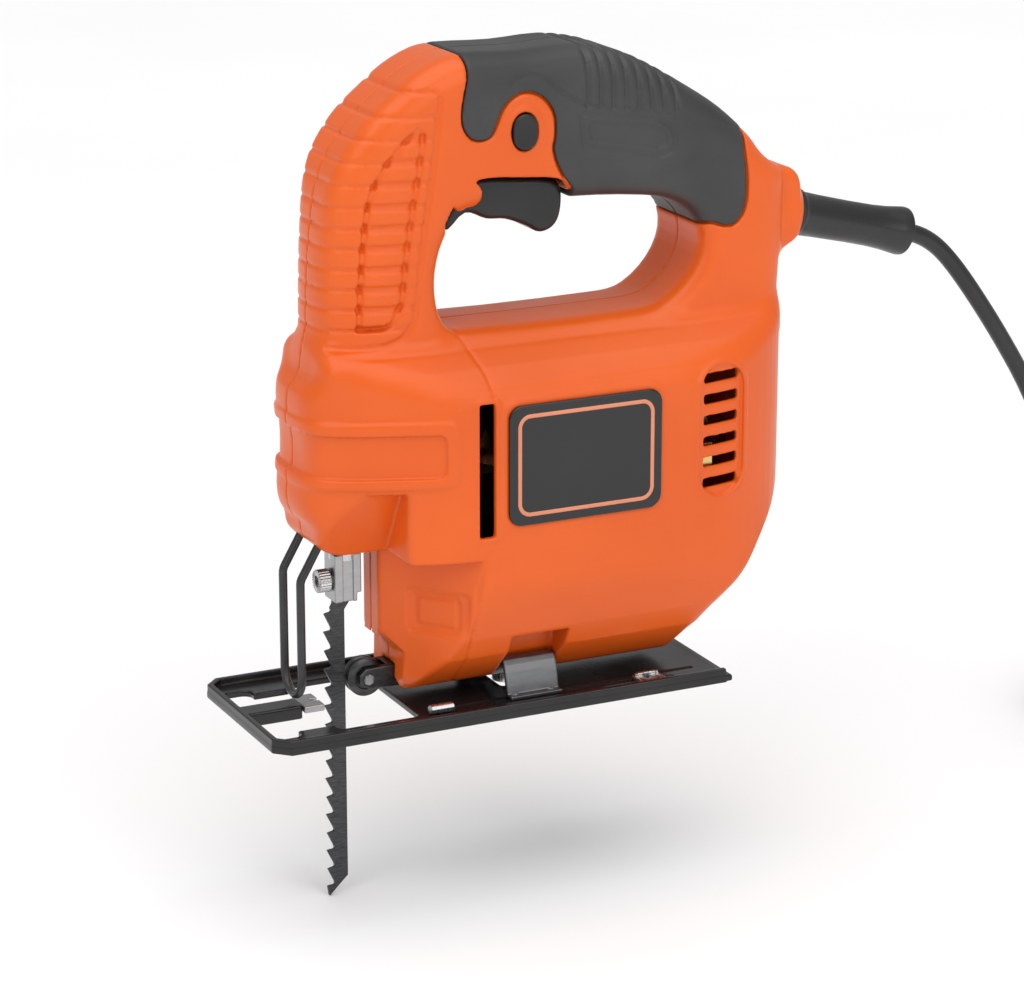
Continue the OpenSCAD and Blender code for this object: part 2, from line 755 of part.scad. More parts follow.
module gear_wheel() {
  color("gray") difference() {
    union() {
      along_x(gear_x, gear_x + gear_w) translate([0, gear_z])
        gear_outline(gear_teeth, gear_pitch_r, 0.35, 0.8, 3.75);
      // Counterweight opposite the crank pin
      intersection() {
        rod_x(gear_x + gear_w - 1, gear_x + gear_w + 2.4, 15.5, 0, gear_z);
        box(0, 60, -20, 20, gear_z + 5.5, gear_z + 20);
      }
    }
    rod_x(0, 60, 3 + run_gap, 0, gear_z);
    rod_x(0, 60, 2.5, 0, yoke_z);
    for (s = [-1, 1]) rod_x(0, 60, 3.4, s * 10.5, gear_z);
  }
}

module crank_pin() {
  color("silver") rod_x(24, 31.2, 2.5, 0, yoke_z);
}

module crank_roller() {
  color("silver") difference() {
    rod_x(gear_x + gear_w + 0.3, 31.2, 3.5, 0, yoke_z);
    rod_x(20, 40, 2.5, 0, yoke_z);
  }
}

module gear_spindle() {
  color("silver") {
    rod_x(plate_x, 28.6, 3, 0, gear_z);
    rod_x(plate_x + plate_t, gear_x - 0.3, 4.6, 0, gear_z);
  }
}

module plate_outline() {
  polygon([[-20, 50], [20, 50], [24, 55], [24, 88], [19, 95], [12, 101], [-12, 101], [-19, 95],
    [-24, 88], [-24, 55]]);
}

module gear_plate() {
  color("silver") difference() {
    along_x(plate_x, plate_x + plate_t) plate_outline();
    rod_x(0, 30, 8, 0, motor_z);
    rod_x(0, 30, 3, 0, gear_z);
    pair() rod_x(0, 30, 2, 17, 80);
  }
}

module armature_shaft() {
  color("silver") {
    rod_x(-77, gear_x - 1.5, 3, 0, motor_z);
    rod_x(-66, 11.5, 4, 0, motor_z);
    along_x(gear_x - 1.5, gear_x + gear_w + 1.5) translate([0, motor_z])
      gear_outline(pinion_teeth, pinion_pitch_r, 0.45, 0.8, 0);
  }
}

module armature_core() {
  color("gray") difference() {
    rod_x(-42, -10, armature_r, 0, motor_z);
    rod_x(-50, 0, 4, 0, motor_z);
    for (a = [0:30:330]) translate([-50, 0, motor_z]) rotate([a, 0, 0]) box(0, 60, -0.8, 0.8, 9.5, 15);
  }
}

module armature_windings() {
  color("chocolate") difference() {
    union() {
      rod_x(-50, -42, 11.5, 0, motor_z);
      rod_x(-10, -2, 11.5, 0, motor_z);
    }
    rod_x(-60, 0, 4, 0, motor_z);
  }
}

module commutator() {
  color("chocolate") difference() {
    rod_x(-63, -52, 9, 0, motor_z);
    rod_x(-70, -50, 4, 0, motor_z);
    for (a = [0:15:345]) translate([-70, 0, motor_z]) rotate([a, 0, 0]) box(0, 30, -0.2, 0.2, 8.3, 10);
  }
}

module fan() {
  color("dimgray") difference() {
    union() {
      rod_x(8.3, 9.8, 20.5, 0, motor_z);
      rod_x(2, 9.8, 7, 0, motor_z);
      for (a = [0:40:320]) translate([0, 0, motor_z]) rotate([a, 0, 0]) box(2, 8.4, -0.7, 0.7, 6, 20);
    }
    rod_x(0, 12, 4, 0, motor_z);
  }
}

module bearing(x0, x1) {
  difference() {
    rod_x(x0, x1, 8, 0, motor_z);
    rod_x(x0 - 1, x1 + 1, 3 + run_gap, 0, motor_z);
  }
}

module front_bearing() {
  color("silver") bearing(12, 17);
}

module rear_bearing() {
  color("silver") bearing(-75, -70);
}

module fan_baffle() {
  color("dimgray") difference() {
    rod_x(-1, 1, 24, 0, motor_z);
    rod_x(-2, 2, 15.5, 0, motor_z);
  }
}

// Wedge from the motor axis, in the plane across it, between two angles
module slice(a0, a1, r = 40) {
  polygon([[0, 0], for (a = [a0:(a1 - a0) / 4:a1 + 0.01]) r * [cos(a), sin(a)]]);
}

module field_core() {
  color("gray") difference() {
    rod_x(-42, -10, field_r, 0, motor_z);
    rod_x(-50, 0, armature_r + 0.7, 0, motor_z);
    for (a = [48, 228]) intersection() {
      rod_x(-50, 0, 20.5, 0, motor_z);
      translate([0, 0, motor_z]) along_x(-50, 0) slice(a, a + 84);
    }
  }
}

module field_coils() {
  color("chocolate") for (a = [50, 230]) intersection() {
    difference() {
      rod_x(-50, -2, 20.3, 0, motor_z);
      rod_x(-60, 0, armature_r + 1.5, 0, motor_z);
    }
    translate([0, 0, motor_z]) along_x(-60, 0) slice(a, a + 80);
  }
}

module brush_holders() {
  color("gold") pair() difference() {
    box(-60.7, -54.3, 9.8, 26, motor_z - 4.8, motor_z + 4.8);
    box(-60, -55, 9, 25, motor_z - 4, motor_z + 4);
  }
}

module carbon_brushes() {
  color("black") pair() box(-60, -55, 9.25, 21, motor_z - 4, motor_z + 4);
}

left_housing();
right_housing();
left_grip();
right_grip();
left_badge();
right_badge();
housing_screws();
trigger();
trigger_pin();
trigger_spring();
lock_button();
lock_spring();
strain_relief();
power_cord();
cord_coil();
plug_lead();
cord_tie();
plug_body();
plug_pins();
finger_guard();
blade_clamp();
clamp_screw();
saw_blade();
shoe();
shoe_saddle();
saddle_rivets();
shoe_insert();
bevel_screws();
guide_clip();
guide_pin();
support_roller();
roller_pin();
roller_fork();
plunger_rod();
scotch_yoke();
upper_bush();
lower_bush();
gear_wheel();
crank_pin();
crank_roller();
gear_spindle();
gear_plate();
armature_shaft();
armature_core();
armature_windings();
commutator();
fan();
front_bearing();
rear_bearing();
fan_baffle();
field_core();
field_coils();
brush_holders();
carbon_brushes();
trigger_switch();
noise_capacitor();
cord_clamp();
cord_clamp_screws();
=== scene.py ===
"""Looks for the compact corded jigsaw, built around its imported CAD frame.

Lengths in the modelling code are millimetres in the frame's own axes: +X forward, +Y the tool's
left, +Z up, with the origin on the sole plane. They become metres when a mesh is made.
"""
import math
import bmesh
import bpy
import numpy as np
from mathutils import Matrix, Vector


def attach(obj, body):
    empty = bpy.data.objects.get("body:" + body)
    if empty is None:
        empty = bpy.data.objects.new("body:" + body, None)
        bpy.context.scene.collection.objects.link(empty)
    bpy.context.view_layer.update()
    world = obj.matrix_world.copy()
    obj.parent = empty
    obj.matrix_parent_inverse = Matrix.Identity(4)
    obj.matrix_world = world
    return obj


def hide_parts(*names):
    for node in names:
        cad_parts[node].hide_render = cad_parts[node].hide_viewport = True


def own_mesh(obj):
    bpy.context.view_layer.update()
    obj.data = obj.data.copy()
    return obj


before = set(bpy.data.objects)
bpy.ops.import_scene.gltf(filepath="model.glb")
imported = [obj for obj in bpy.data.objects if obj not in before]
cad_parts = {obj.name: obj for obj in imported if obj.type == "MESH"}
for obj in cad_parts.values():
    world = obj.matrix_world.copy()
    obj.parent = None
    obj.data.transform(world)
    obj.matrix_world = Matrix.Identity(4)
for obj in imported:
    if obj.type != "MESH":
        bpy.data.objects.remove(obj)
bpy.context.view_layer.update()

MM = 0.001

# Driving dimensions, the same as in the CAD source
STROKE_X = 40.0
BLADE_BELOW = 55.3
BLADE_T = 1.2
BLADE_W = 6.0
TOOTH_PITCH = 5.4
SHOE_REAR, SHOE_FRONT, SHOE_HALF = -67.5, 71.5, 28.0
BEVEL_Z = 18.0
POD_HALF = 31.0
HANDLE_HALF = 17.0
WALL = 2.5
GRIP_T = 2.0
MOTOR_Z = 66.0
CORD_D = 5.2
FLOOR_Z = -55.5


def new_object(name, data):
    """Object in the scene for a mesh, curve, light or camera."""
    item = bpy.data.objects.new(name, data)
    bpy.context.collection.objects.link(item)
    return item


# Camera -----------------------------------------------------------------------------------------

def add_camera():
    """A long lens looking from the tool's left and front, a little above it."""
    yaw, pitch = math.radians(25.8), math.radians(17)
    back = Vector((math.sin(yaw) * math.cos(pitch), math.cos(yaw) * math.cos(pitch), math.sin(pitch)))
    right = Vector((-math.cos(yaw), math.sin(yaw), 0))
    up = back.cross(right)
    data = bpy.data.cameras.new("photo_camera")
    data.lens = 126.56
    data.sensor_width = 36
    data.clip_end = 50
    camera = new_object("photo_camera", data)
    place = Matrix.Translation((0.40680, 0.86547, 0.34948))
    camera.matrix_world = place @ Matrix((right, up, back)).transposed().to_4x4()
    bpy.context.scene.camera = camera


# Materials --------------------------------------------------------------------------------------

def new_material(name):
    material = bpy.data.materials.new(name)
    material.use_nodes = True
    nodes = material.node_tree.nodes
    shader = nodes["Principled BSDF"]
    return material, nodes, material.node_tree.links, shader


def add_noise(nodes, links, scale, detail=4.0, stretch=None):
    """Noise in object space, stretched along an axis when stretch is given."""
    noise = nodes.new("ShaderNodeTexNoise")
    noise.inputs["Scale"].default_value = scale
    noise.inputs["Detail"].default_value = detail
    vector = nodes.new("ShaderNodeTexCoord").outputs["Object"]
    if stretch is not None:
        mapping = nodes.new("ShaderNodeMapping")
        mapping.inputs["Scale"].default_value = stretch
        links.new(vector, mapping.inputs["Vector"])
        vector = mapping.outputs["Vector"]
    links.new(vector, noise.inputs["Vector"])
    return noise.outputs["Fac"]


def add_ramp(nodes, links, source, low, high, start=0.35, end=0.65):
    ramp = nodes.new("ShaderNodeValToRGB")
    ramp.color_ramp.elements[0].position = start
    ramp.color_ramp.elements[1].position = end
    ramp.color_ramp.elements[0].color = (*low, 1)
    ramp.color_ramp.elements[1].color = (*high, 1)
    links.new(source, ramp.inputs["Fac"])
    return ramp.outputs["Color"]


def add_bump(nodes, links, shader, height, distance, strength):
    bump = nodes.new("ShaderNodeBump")
    bump.inputs["Distance"].default_value = distance
    bump.inputs["Strength"].default_value = strength
    links.new(height, bump.inputs["Height"])
    links.new(bump.outputs["Normal"], shader.inputs["Normal"])


def grey(value):
    return (value, value, value)


def moulded(name, low, high, rough, grain=2600, grain_depth=0.00002, patch=28, specular=0.5):
    """Moulded plastic or rubber: slight colour patches, a fine spark texture and handling marks."""
    material, nodes, links, shader = new_material(name)
    patches = add_noise(nodes, links, patch, 5)
    links.new(add_ramp(nodes, links, patches, low, high), shader.inputs["Base Color"])
    smudge = add_noise(nodes, links, patch * 2.3, 6)
    span = add_ramp(nodes, links, smudge, grey(rough - 0.05), grey(rough + 0.05))
    links.new(span, shader.inputs["Roughness"])
    shader.inputs["Specular IOR Level"].default_value = specular
    fine = add_noise(nodes, links, grain, 2)
    add_bump(nodes, links, shader, fine, grain_depth, 0.6)
    return material


def metal(name, low, high, rough, stretch=(1, 1, 1), scale=240, depth=0.00001):
    """Plated or ground metal: directional brushing in colour, roughness and bump."""
    material, nodes, links, shader = new_material(name)
    shader.inputs["Metallic"].default_value = 1.0
    brush = add_noise(nodes, links, scale, 6, stretch)
    colour = add_ramp(nodes, links, brush, low, high, 0.3, 0.7)
    links.new(colour, shader.inputs["Base Color"])
    span = add_ramp(nodes, links, brush, grey(rough - 0.07), grey(rough + 0.09))
    links.new(span, shader.inputs["Roughness"])
    add_bump(nodes, links, shader, brush, depth, 0.5)
    return material


def enamel(name, low, high, rough):
    """Stoved enamel on sheet steel: faint orange peel and rubbed patches that shine more."""
    material, nodes, links, shader = new_material(name)
    patches = add_noise(nodes, links, 60, 6)
    links.new(add_ramp(nodes, links, patches, low, high, 0.3, 0.75), shader.inputs["Base Color"])
    rub = add_noise(nodes, links, 35, 8)
    links.new(add_ramp(nodes, links, rub, grey(rough - 0.1), grey(rough + 0.12)), shader.inputs["Roughness"])
    shader.inputs["Specular IOR Level"].default_value = 0.35
    shader.inputs["Coat Weight"].default_value = 0.12
    shader.inputs["Coat Roughness"].default_value = 0.2
    peel = add_noise(nodes, links, 900, 2)
    add_bump(nodes, links, shader, peel, 0.00004, 0.5)
    return material


def make_materials():
    m = {}
    m["orange"] = moulded("orange_plastic", (0.69, 0.098, 0.007), (0.76, 0.116, 0.010), 0.34, patch=16,
                          specular=0.36)
    m["grip"] = moulded("grip_rubber", (0.026, 0.026, 0.027), (0.042, 0.042, 0.043), 0.48, grain=1500,
                        grain_depth=0.00006)
    m["black"] = moulded("black_plastic", (0.010, 0.010, 0.011), (0.018, 0.018, 0.019), 0.34, specular=0.4)
    m["badge"] = moulded("badge_gloss", (0.006, 0.006, 0.007), (0.010, 0.010, 0.011), 0.18, grain=400,
                         grain_depth=0.000004)
    m["badge_line"] = moulded("badge_line", (0.62, 0.20, 0.10), (0.72, 0.26, 0.14), 0.35)
    m["cord"] = moulded("cord_rubber", (0.008, 0.008, 0.009), (0.015, 0.015, 0.016), 0.32, grain=900)
    m["enamel"] = enamel("shoe_enamel", (0.006, 0.006, 0.0065), (0.014, 0.014, 0.015), 0.22)
    m["guard"] = enamel("guard_enamel", (0.014, 0.014, 0.015), (0.04, 0.04, 0.042), 0.24)
    m["bracket"] = metal("bracket_steel", (0.16, 0.163, 0.17), (0.23, 0.235, 0.24), 0.42, (1, 1, 3), 220,
                         0.000004)
    m["zinc"] = metal("zinc_plate", (0.34, 0.345, 0.35), (0.44, 0.445, 0.45), 0.36, (1, 1, 3), 220, 0.000004)
    m["steel"] = metal("ground_steel", (0.48, 0.48, 0.49), (0.60, 0.60, 0.60), 0.28, (8, 1, 1), 300,
                       0.000004)
    m["dark_steel"] = metal("blackened_steel", (0.045, 0.045, 0.047), (0.10, 0.10, 0.10), 0.36, (1, 1, 2),
                            260, 0.000004)
    m["blade"] = metal("blade_steel", (0.040, 0.041, 0.043), (0.095, 0.097, 0.10), 0.36, (1, 1, 9), 420)
    m["bronze"] = metal("bronze", (0.42, 0.25, 0.10), (0.58, 0.38, 0.17), 0.38)
    m["brass"] = metal("brass", (0.56, 0.40, 0.14), (0.72, 0.54, 0.22), 0.24)
    m["alloy"] = metal("die_cast", (0.48, 0.48, 0.48), (0.62, 0.62, 0.62), 0.46)
    m["laminations"] = metal("laminations", (0.10, 0.095, 0.09), (0.22, 0.21, 0.20), 0.5, (60, 1, 1), 40)
    m["copper"] = metal("winding_copper", (0.32, 0.10, 0.03), (0.55, 0.22, 0.08), 0.4, (1, 30, 30), 60)
    m["carbon"] = moulded("pressed_carbon", (0.010, 0.010, 0.010), (0.02, 0.02, 0.02), 0.6)
    m["plastic_cap"] = moulded("capacitor_plastic", (0.42, 0.30, 0.05), (0.5, 0.36, 0.08), 0.4)
    return m


# Distance fields --------------------------------------------------------------------------------
# A solid is a field of distances on a regular grid, negative inside. Its surface becomes the mesh.

class Grid:
    def __init__(self, low, high, step):
        self.low = np.array(low, float)
        self.step = step
        axes = [np.arange(a, b + step, step, dtype=np.float32) for a, b in zip(low, high)]
        self.x = axes[0][:, None, None]
        self.y = axes[1][None, :, None]
        self.z = axes[2][None, None, :]

    def side(self, flat):
        """Lifts a function of x and z into the grid."""
        return flat(self.x[:, :, 0], self.z[:, 0, :])[:, None, :]

    def plan(self, flat):
        return flat(self.x[:, :, 0], self.y[:, :, 0].reshape(1, -1))[:, :, None]

    def section(self, flat):
        return flat(self.y[0, :, :], self.z[0, :, :])[None, :, :]


def nearest_square(u, v, points):
    """Squared distance to an open line."""
    nearest = np.full(np.broadcast(u, v).shape, 1e9, np.float32)
    for (ax, ay), (bx, by) in zip(points, points[1:]):
        ex, ey = bx - ax, by - ay
        wx, wy = u - ax, v - ay
        t = np.clip((wx * ex + wy * ey) / (ex * ex + ey * ey + 1e-12), 0, 1)
        nearest = np.minimum(nearest, (wx - t * ex) ** 2 + (wy - t * ey) ** 2)
    return nearest


def path(points):
    """Distance to an open line, as a function of two coordinates."""
    return lambda u, v: np.sqrt(nearest_square(u, v, points))


def outline(points):
    """Signed distance to a closed outline, as a function of two coordinates."""
    ring = points + points[:1]

    def distance(u, v):
        inside = np.zeros(np.broadcast(u, v).shape, bool)
        for (ax, ay), (bx, by) in zip(ring, ring[1:]):
            if ay != by:
                inside ^= ((ay > v) != (by > v)) & (u < ax + (v - ay) * (bx - ax) / (by - ay))
        return np.where(inside, -1, 1).astype(np.float32) * np.sqrt(nearest_square(u, v, ring))
    return distance


def rectangle(x0, x1, z0, z1, r):
    """Rounded rectangle, as a function of two coordinates."""
    def distance(u, v):
        du = np.abs(u - (x0 + x1) / 2) - (x1 - x0) / 2 + r
        dv = np.abs(v - (z0 + z1) / 2) - (z1 - z0) / 2 + r
        return np.hypot(np.maximum(du, 0), np.maximum(dv, 0)) + np.minimum(np.maximum(du, dv), 0) - r
    return distance


def ellipse(cx, cz, rx, rz):
    return lambda u, v: (np.hypot((u - cx) / rx, (v - cz) / rz) - 1) * min(rx, rz)


def curve_through(points, parts=4, sharp=(), closed=True):
    """Smooth line through the points; the points listed in sharp stay corners."""
    n = len(points)
    pts = [np.array(p, float) for p in points]
    out = []
    for i in range(n if closed else n - 1):
        p0, p1, p2, p3 = pts[i - 1], pts[i], pts[(i + 1) % n], pts[(i + 2) % n]
        first = i in sharp or (not closed and i == 0)
        last = (i + 1) % n in sharp or (not closed and i == n - 2)
        length = np.linalg.norm(p2 - p1)
        d1 = p2 - (p1 if first else p0)
        d2 = (p2 if last else p3) - p1
        m1 = d1 / max(np.linalg.norm(d1), 1e-9) * length
        m2 = d2 / max(np.linalg.norm(d2), 1e-9) * length
        for k in range(parts):
            t = k / parts
            a = 2 * t ** 3 - 3 * t ** 2 + 1
            b = t ** 3 - 2 * t ** 2 + t
            c = -2 * t ** 3 + 3 * t ** 2
            d = t ** 3 - t ** 2
            out.append(tuple(a * p1 + b * m1 + c * p2 + d * m2))
    if not closed:
        out.append(tuple(pts[-1]))
    return out


def meet(a, b, r):
    """Intersection with its edge rounded to radius r."""
    return np.minimum(-r, np.maximum(a, b)) + np.hypot(np.maximum(a + r, 0), np.maximum(b + r, 0))


def join(a, b, r):
    """Union with its inner corner filled to radius r."""
    return np.maximum(r, np.minimum(a, b)) - np.hypot(np.maximum(r - a, 0), np.maximum(r - b, 0))


def cut(a, b, r=0.0):
    if r == 0:
        return np.maximum(a, -b)
    return meet(a, -b, r)


def engrave(f, line, r):
    """Round groove of radius r along a line drawn on the surface."""
    return np.maximum(f, r - np.hypot(line, f))


def recess(f, region, depth, r):
    """Sinks the surface inside a region by depth."""
    return cut(f, meet(region, -f - depth, r), r)


def raise_area(f, region, height, r):
    """Lifts the surface inside a region by height."""
    return join(f, meet(region, f - height, r), r)


def beyond_sides(g, *limits):
    """Distance past the sides of a box, along each axis."""
    spans = zip((g.x, g.y, g.z), limits[::2], limits[1::2])
    return [np.abs(axis - (a + b) / 2) - (b - a) / 2 for axis, a, b in spans]


def box(g, x0, x1, y0, y1, z0, z1):
    dx, dy, dz = beyond_sides(g, x0, x1, y0, y1, z0, z1)
    return np.maximum(np.maximum(dx, dy), dz)


def soft_box(g, x0, x1, y0, y1, z0, z1, r):
    """Box with its edges rounded to radius r."""
    dx, dy, dz = beyond_sides(g, x0, x1, y0, y1, z0, z1)
    return meet(meet(dx, dy, r), dz, r)


def rod(g, axis, a0, a1, r, c0, c1):
    """Cylinder along axis 0, 1 or 2 from a0 to a1, centred at (c0, c1) in the other two axes."""
    axes = [g.x, g.y, g.z]
    along = axes.pop(axis)
    ends = np.abs(along - (a0 + a1) / 2) - (a1 - a0) / 2
    return np.maximum(np.hypot(axes[0] - c0, axes[1] - c1) - r, ends)


def surface(field, g):
    """Vertices and quads of the field's zero surface."""
    inside = field < 0
    n = field.shape
    count = np.zeros([m - 1 for m in n], np.int8)
    for i in (0, 1):
        for j in (0, 1):
            for k in (0, 1):
                count += inside[i:n[0] - 1 + i, j:n[1] - 1 + j, k:n[2] - 1 + k]
    cells = np.argwhere((count > 0) & (count < 8))
    index = np.full(count.shape, -1, np.int32)
    index[tuple(cells.T)] = np.arange(len(cells))
    total = np.zeros((len(cells), 3))
    hits = np.zeros(len(cells))
    for axis in range(3):
        unit = np.eye(3, dtype=int)[axis]
        others = [a for a in range(3) if a != axis]
        for a in (0, 1):
            for b in (0, 1):
                start = np.zeros(3, int)
                start[others[0]] = a
                start[others[1]] = b
                f0 = field[tuple((cells + start).T)]
                f1 = field[tuple((cells + start + unit).T)]
                crosses = (f0 < 0) != (f1 < 0)
                t = np.where(crosses, f0 / np.where(crosses, f0 - f1, 1), 0)
                total += crosses[:, None] * (start + t[:, None] * unit)
                hits += crosses
    verts = g.low + g.step * (cells + total / hits[:, None])
    quads = []
    for axis in range(3):
        b, c = (axis + 1) % 3, (axis + 2) % 3
        low = [slice(1, m - 1) for m in n]
        low[axis] = slice(0, n[axis] - 1)
        high = list(low)
        high[axis] = slice(1, n[axis])
        here, there = inside[tuple(low)], inside[tuple(high)]
        for flip, at in ((False, here & ~there), (True, ~here & there)):
            p = np.argwhere(at) + np.array([s.start for s in low])
            eb, ec = np.eye(3, dtype=int)[b], np.eye(3, dtype=int)[c]
            ring = [index[tuple(q.T)] for q in (p - eb - ec, p - ec, p, p - eb)]
            if flip:
                ring.reverse()
            quads.append(np.stack(ring, 1))
    return verts, np.concatenate(quads)


def sample(field, g, verts):
    """Field value and gradient at each vertex."""
    p = (verts - g.low) / g.step
    i = np.clip(np.floor(p).astype(int), 0, np.array(field.shape) - 2)
    t = p - i
    value = np.zeros(len(p))
    slope = np.zeros((len(p), 3))
    for a in (0, 1):
        for b in (0, 1):
            for c in (0, 1):
                f = field[i[:, 0] + a, i[:, 1] + b, i[:, 2] + c]
                wx = t[:, 0] if a else 1 - t[:, 0]
                wy = t[:, 1] if b else 1 - t[:, 1]
                wz = t[:, 2] if c else 1 - t[:, 2]
                value += f * wx * wy * wz
                slope += np.stack([(2 * a - 1) * f * wy * wz, (2 * b - 1) * f * wx * wz,
                                   (2 * c - 1) * f * wx * wy], 1)
    return value, slope / g.step


def settle(verts, quads, field, g, rounds):
    """Evens out the vertices and puts them back on the surface."""
    for _ in range(rounds):
        total = np.zeros_like(verts)
        count = np.zeros(len(verts))
        for a, b in ((0, 1), (1, 2), (2, 3), (3, 0)):
            for u, v in ((a, b), (b, a)):
                for axis in range(3):
                    total[:, axis] += np.bincount(quads[:, u], verts[quads[:, v], axis], len(verts))
                count += np.bincount(quads[:, u], minlength=len(verts))
        verts = 0.45 * verts + 0.55 * total / count[:, None]
        value, slope = sample(field, g, verts)
        square = (slope ** 2).sum(1)
        step = np.clip(value / np.maximum(square, 0.05), -0.5 * g.step, 0.5 * g.step)
        verts = verts - step[:, None] * slope
    return verts


def mesh_object(name, verts, faces, material):
    """Mesh object from millimetre vertices."""
    data = bpy.data.meshes.new(name)
    verts = np.asarray(verts, np.float32) * MM
    if isinstance(faces, np.ndarray):
        data.vertices.add(len(verts))
        data.vertices.foreach_set("co", verts.ravel())
        data.loops.add(faces.size)
        data.loops.foreach_set("vertex_index", faces.ravel().astype(np.int32))
        data.polygons.add(len(faces))
        data.polygons.foreach_set("loop_start", np.arange(0, faces.size, faces.shape[1], dtype=np.int32))
        data.update(calc_edges=True)
    else:
        data.from_pydata(verts.tolist(), [], faces)
        data.update()
    data.validate()
    data.polygons.foreach_set("use_smooth", np.full(len(data.polygons), True))
    data.materials.append(material)
    return new_object(name, data)


def solid(name, g, field, material, mirror=False, rounds=3):
    """Mesh object of a field; mirror flips it across the centre plane."""
    verts, quads = surface(field, g)
    verts = settle(verts, quads, field, g, rounds)
    if mirror:
        verts = verts * np.array([1, -1, 1])
        quads = quads[:, ::-1]
    return mesh_object(name, verts, np.ascontiguousarray(quads), material)


def finish_piece(piece, body, slot, *nodes):
    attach(piece, body)
    if nodes:
        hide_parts(*nodes)
    return piece


# Housing and grips ------------------------------------------------------------------------------
POD_SIDE = [(32, 21), (32, 47), (44, 47), (49.5, 49.5), (52, 52.5), (52.6, 56), (55.5, 59.5), (57.2, 64),
            (56.6, 68), (55, 73), (54.8, 79), (55.5, 84), (56.3, 89.5), (55.5, 94), (52.5, 97.5), (51, 103),
            (50, 109), (-60, 109), (-88, 112), (-91, 108), (-91, 62), (-88, 50), (-80, 39.5), (-71, 28),
            (-62, 16.8), (-57, 4), (25, 4)]
POD_HALF_PLAN = [(57.2, 0), (56.4, 7), (54, 12), (50, 16), (44, 19.5), (34, 23.5), (22, 28),
                 (10, POD_HALF), (-46, POD_HALF), (-58, 29.5), (-70, 26.5), (-80, 22), (-87, 16),
                 (-90, 9), (-91, 0)]
POD_HALF_SECTION = [(0, 2.5), (5.9, 3.7), (10.96, 7.04), (20.3, 16.4), (23.6, 23), (26.3, 30), (29.2, 38),
                    (POD_HALF, 50), (POD_HALF, 90), (28.8, 94.5), (23.5, 99.5), (18.5, 103), (11, 106.5),
                    (0, 108.5)]
LEG_HALF_PLAN = [(32, 0), (32, 5), (26, 11), (12, 27.5), (8, 33), (-100, 33), (-100, 0)]
UPPER_SIDE = [(51, 96), (50.3, 113), (49.5, 127), (48.3, 138), (47, 147), (44.5, 154.5), (40.5, 161),
              (35.5, 167), (29, 172.5), (22, 177.8), (14, 181.5), (8, 182.3), (-9, 181.8), (-24, 182.4),
              (-35, 180.6), (-45, 176.7), (-60, 168), (-69.5, 161.7), (-79, 153.2), (-83.5, 147.6),
              (-89, 143.5), (-95, 141.6), (-97.5, 138.5), (-98.3, 134), (-97.5, 122.5), (-91, 116.5),
              (-91, 96)]
FINGER_HOLE = [(10, 107.5), (-44, 107.3), (-52, 109.5), (-59.5, 116), (-63, 124), (-61.5, 131.5),
               (-55, 136.8), (-45, 139.2), (-24, 140.8), (8, 140.8), (13, 136), (16.4, 128), (17.2, 119),
               (15, 110.5)]
UPPER_HALF_PLAN = [(51.5, 0), (50.6, 5), (47.5, 10), (42, 13.5), (34, 15.6), (22, 16.6), (8, HANDLE_HALF),
                   (-70, HANDLE_HALF), (-82, 15.5), (-89, 12), (-91.5, 9.5), (-99, 9), (-99, 0)]
GRIP_AREA = [(9.5, 190), (8.8, 178), (10.2, 171), (10.6, 164.5), (8, 160.3), (4.5, 159.6), (1.6, 161),
             (-1.6, 167.5), (-5, 170.6), (-8.5, 171.4), (-13, 169.6), (-16.2, 165.3), (-16.8, 160),
             (-16.2, 155), (-18.6, 148.6), (-22.4, 143.5), (-22.4, 136), (-60, 120), (-62.5, 129.9),
             (-71.5, 129), (-75.7, 133.4), (-76.4, 143), (-75.6, 150.6), (-77, 162), (-60, 190)]
LOCK_AT = (-7.6, 161)
TRIGGER_SIDE = [(14, 135.2), (11.8, 143), (8, 147.4), (3, 148.6), (-8, 147.8), (-17, 146.8),
                (-20.6, 144.6), (-21.2, 138.6), (-19.4, 133.6), (-15, 131.8), (-10.6, 134), (-4.5, 136.4),
                (1, 137), (7.4, 139.2)]
TRIGGER_HALF = 12
TRIGGER_PIVOT = (9, 144.6)
VENT_X0, VENT_X1, VENT_Z0, VENT_PITCH = -68.5, -56.8, 59.9, 6
BADGE = (-42.4, 4.2, 56, 90)
POSTS = [(24, 168, 12), (-83, 104, 9), (-66, 34, 18), (18, 36, 14), (-38, 97.5, 18), (6, 99.5, 16),
         (-64, 153, 12), (-34, 27, 20)]
SADDLE_X0, SADDLE_X1 = -17.5, -1.5
SADDLE_X, SADDLE_HALF = (SADDLE_X0 + SADDLE_X1) / 2, (SADDLE_X1 - SADDLE_X0) / 2
# Radii about the bevel axis: the spine that the bracket turns round, the relief that it turns in, and the
# solid left round that
SPINE_R, BEVEL_RELIEF_R, BEVEL_KEEP_R = 12.5, 22.8, 25.0
BEVEL_RELIEF_TOP = 28.4
# Each half ends this far from the centre plane
HALF_GAP = 0.02
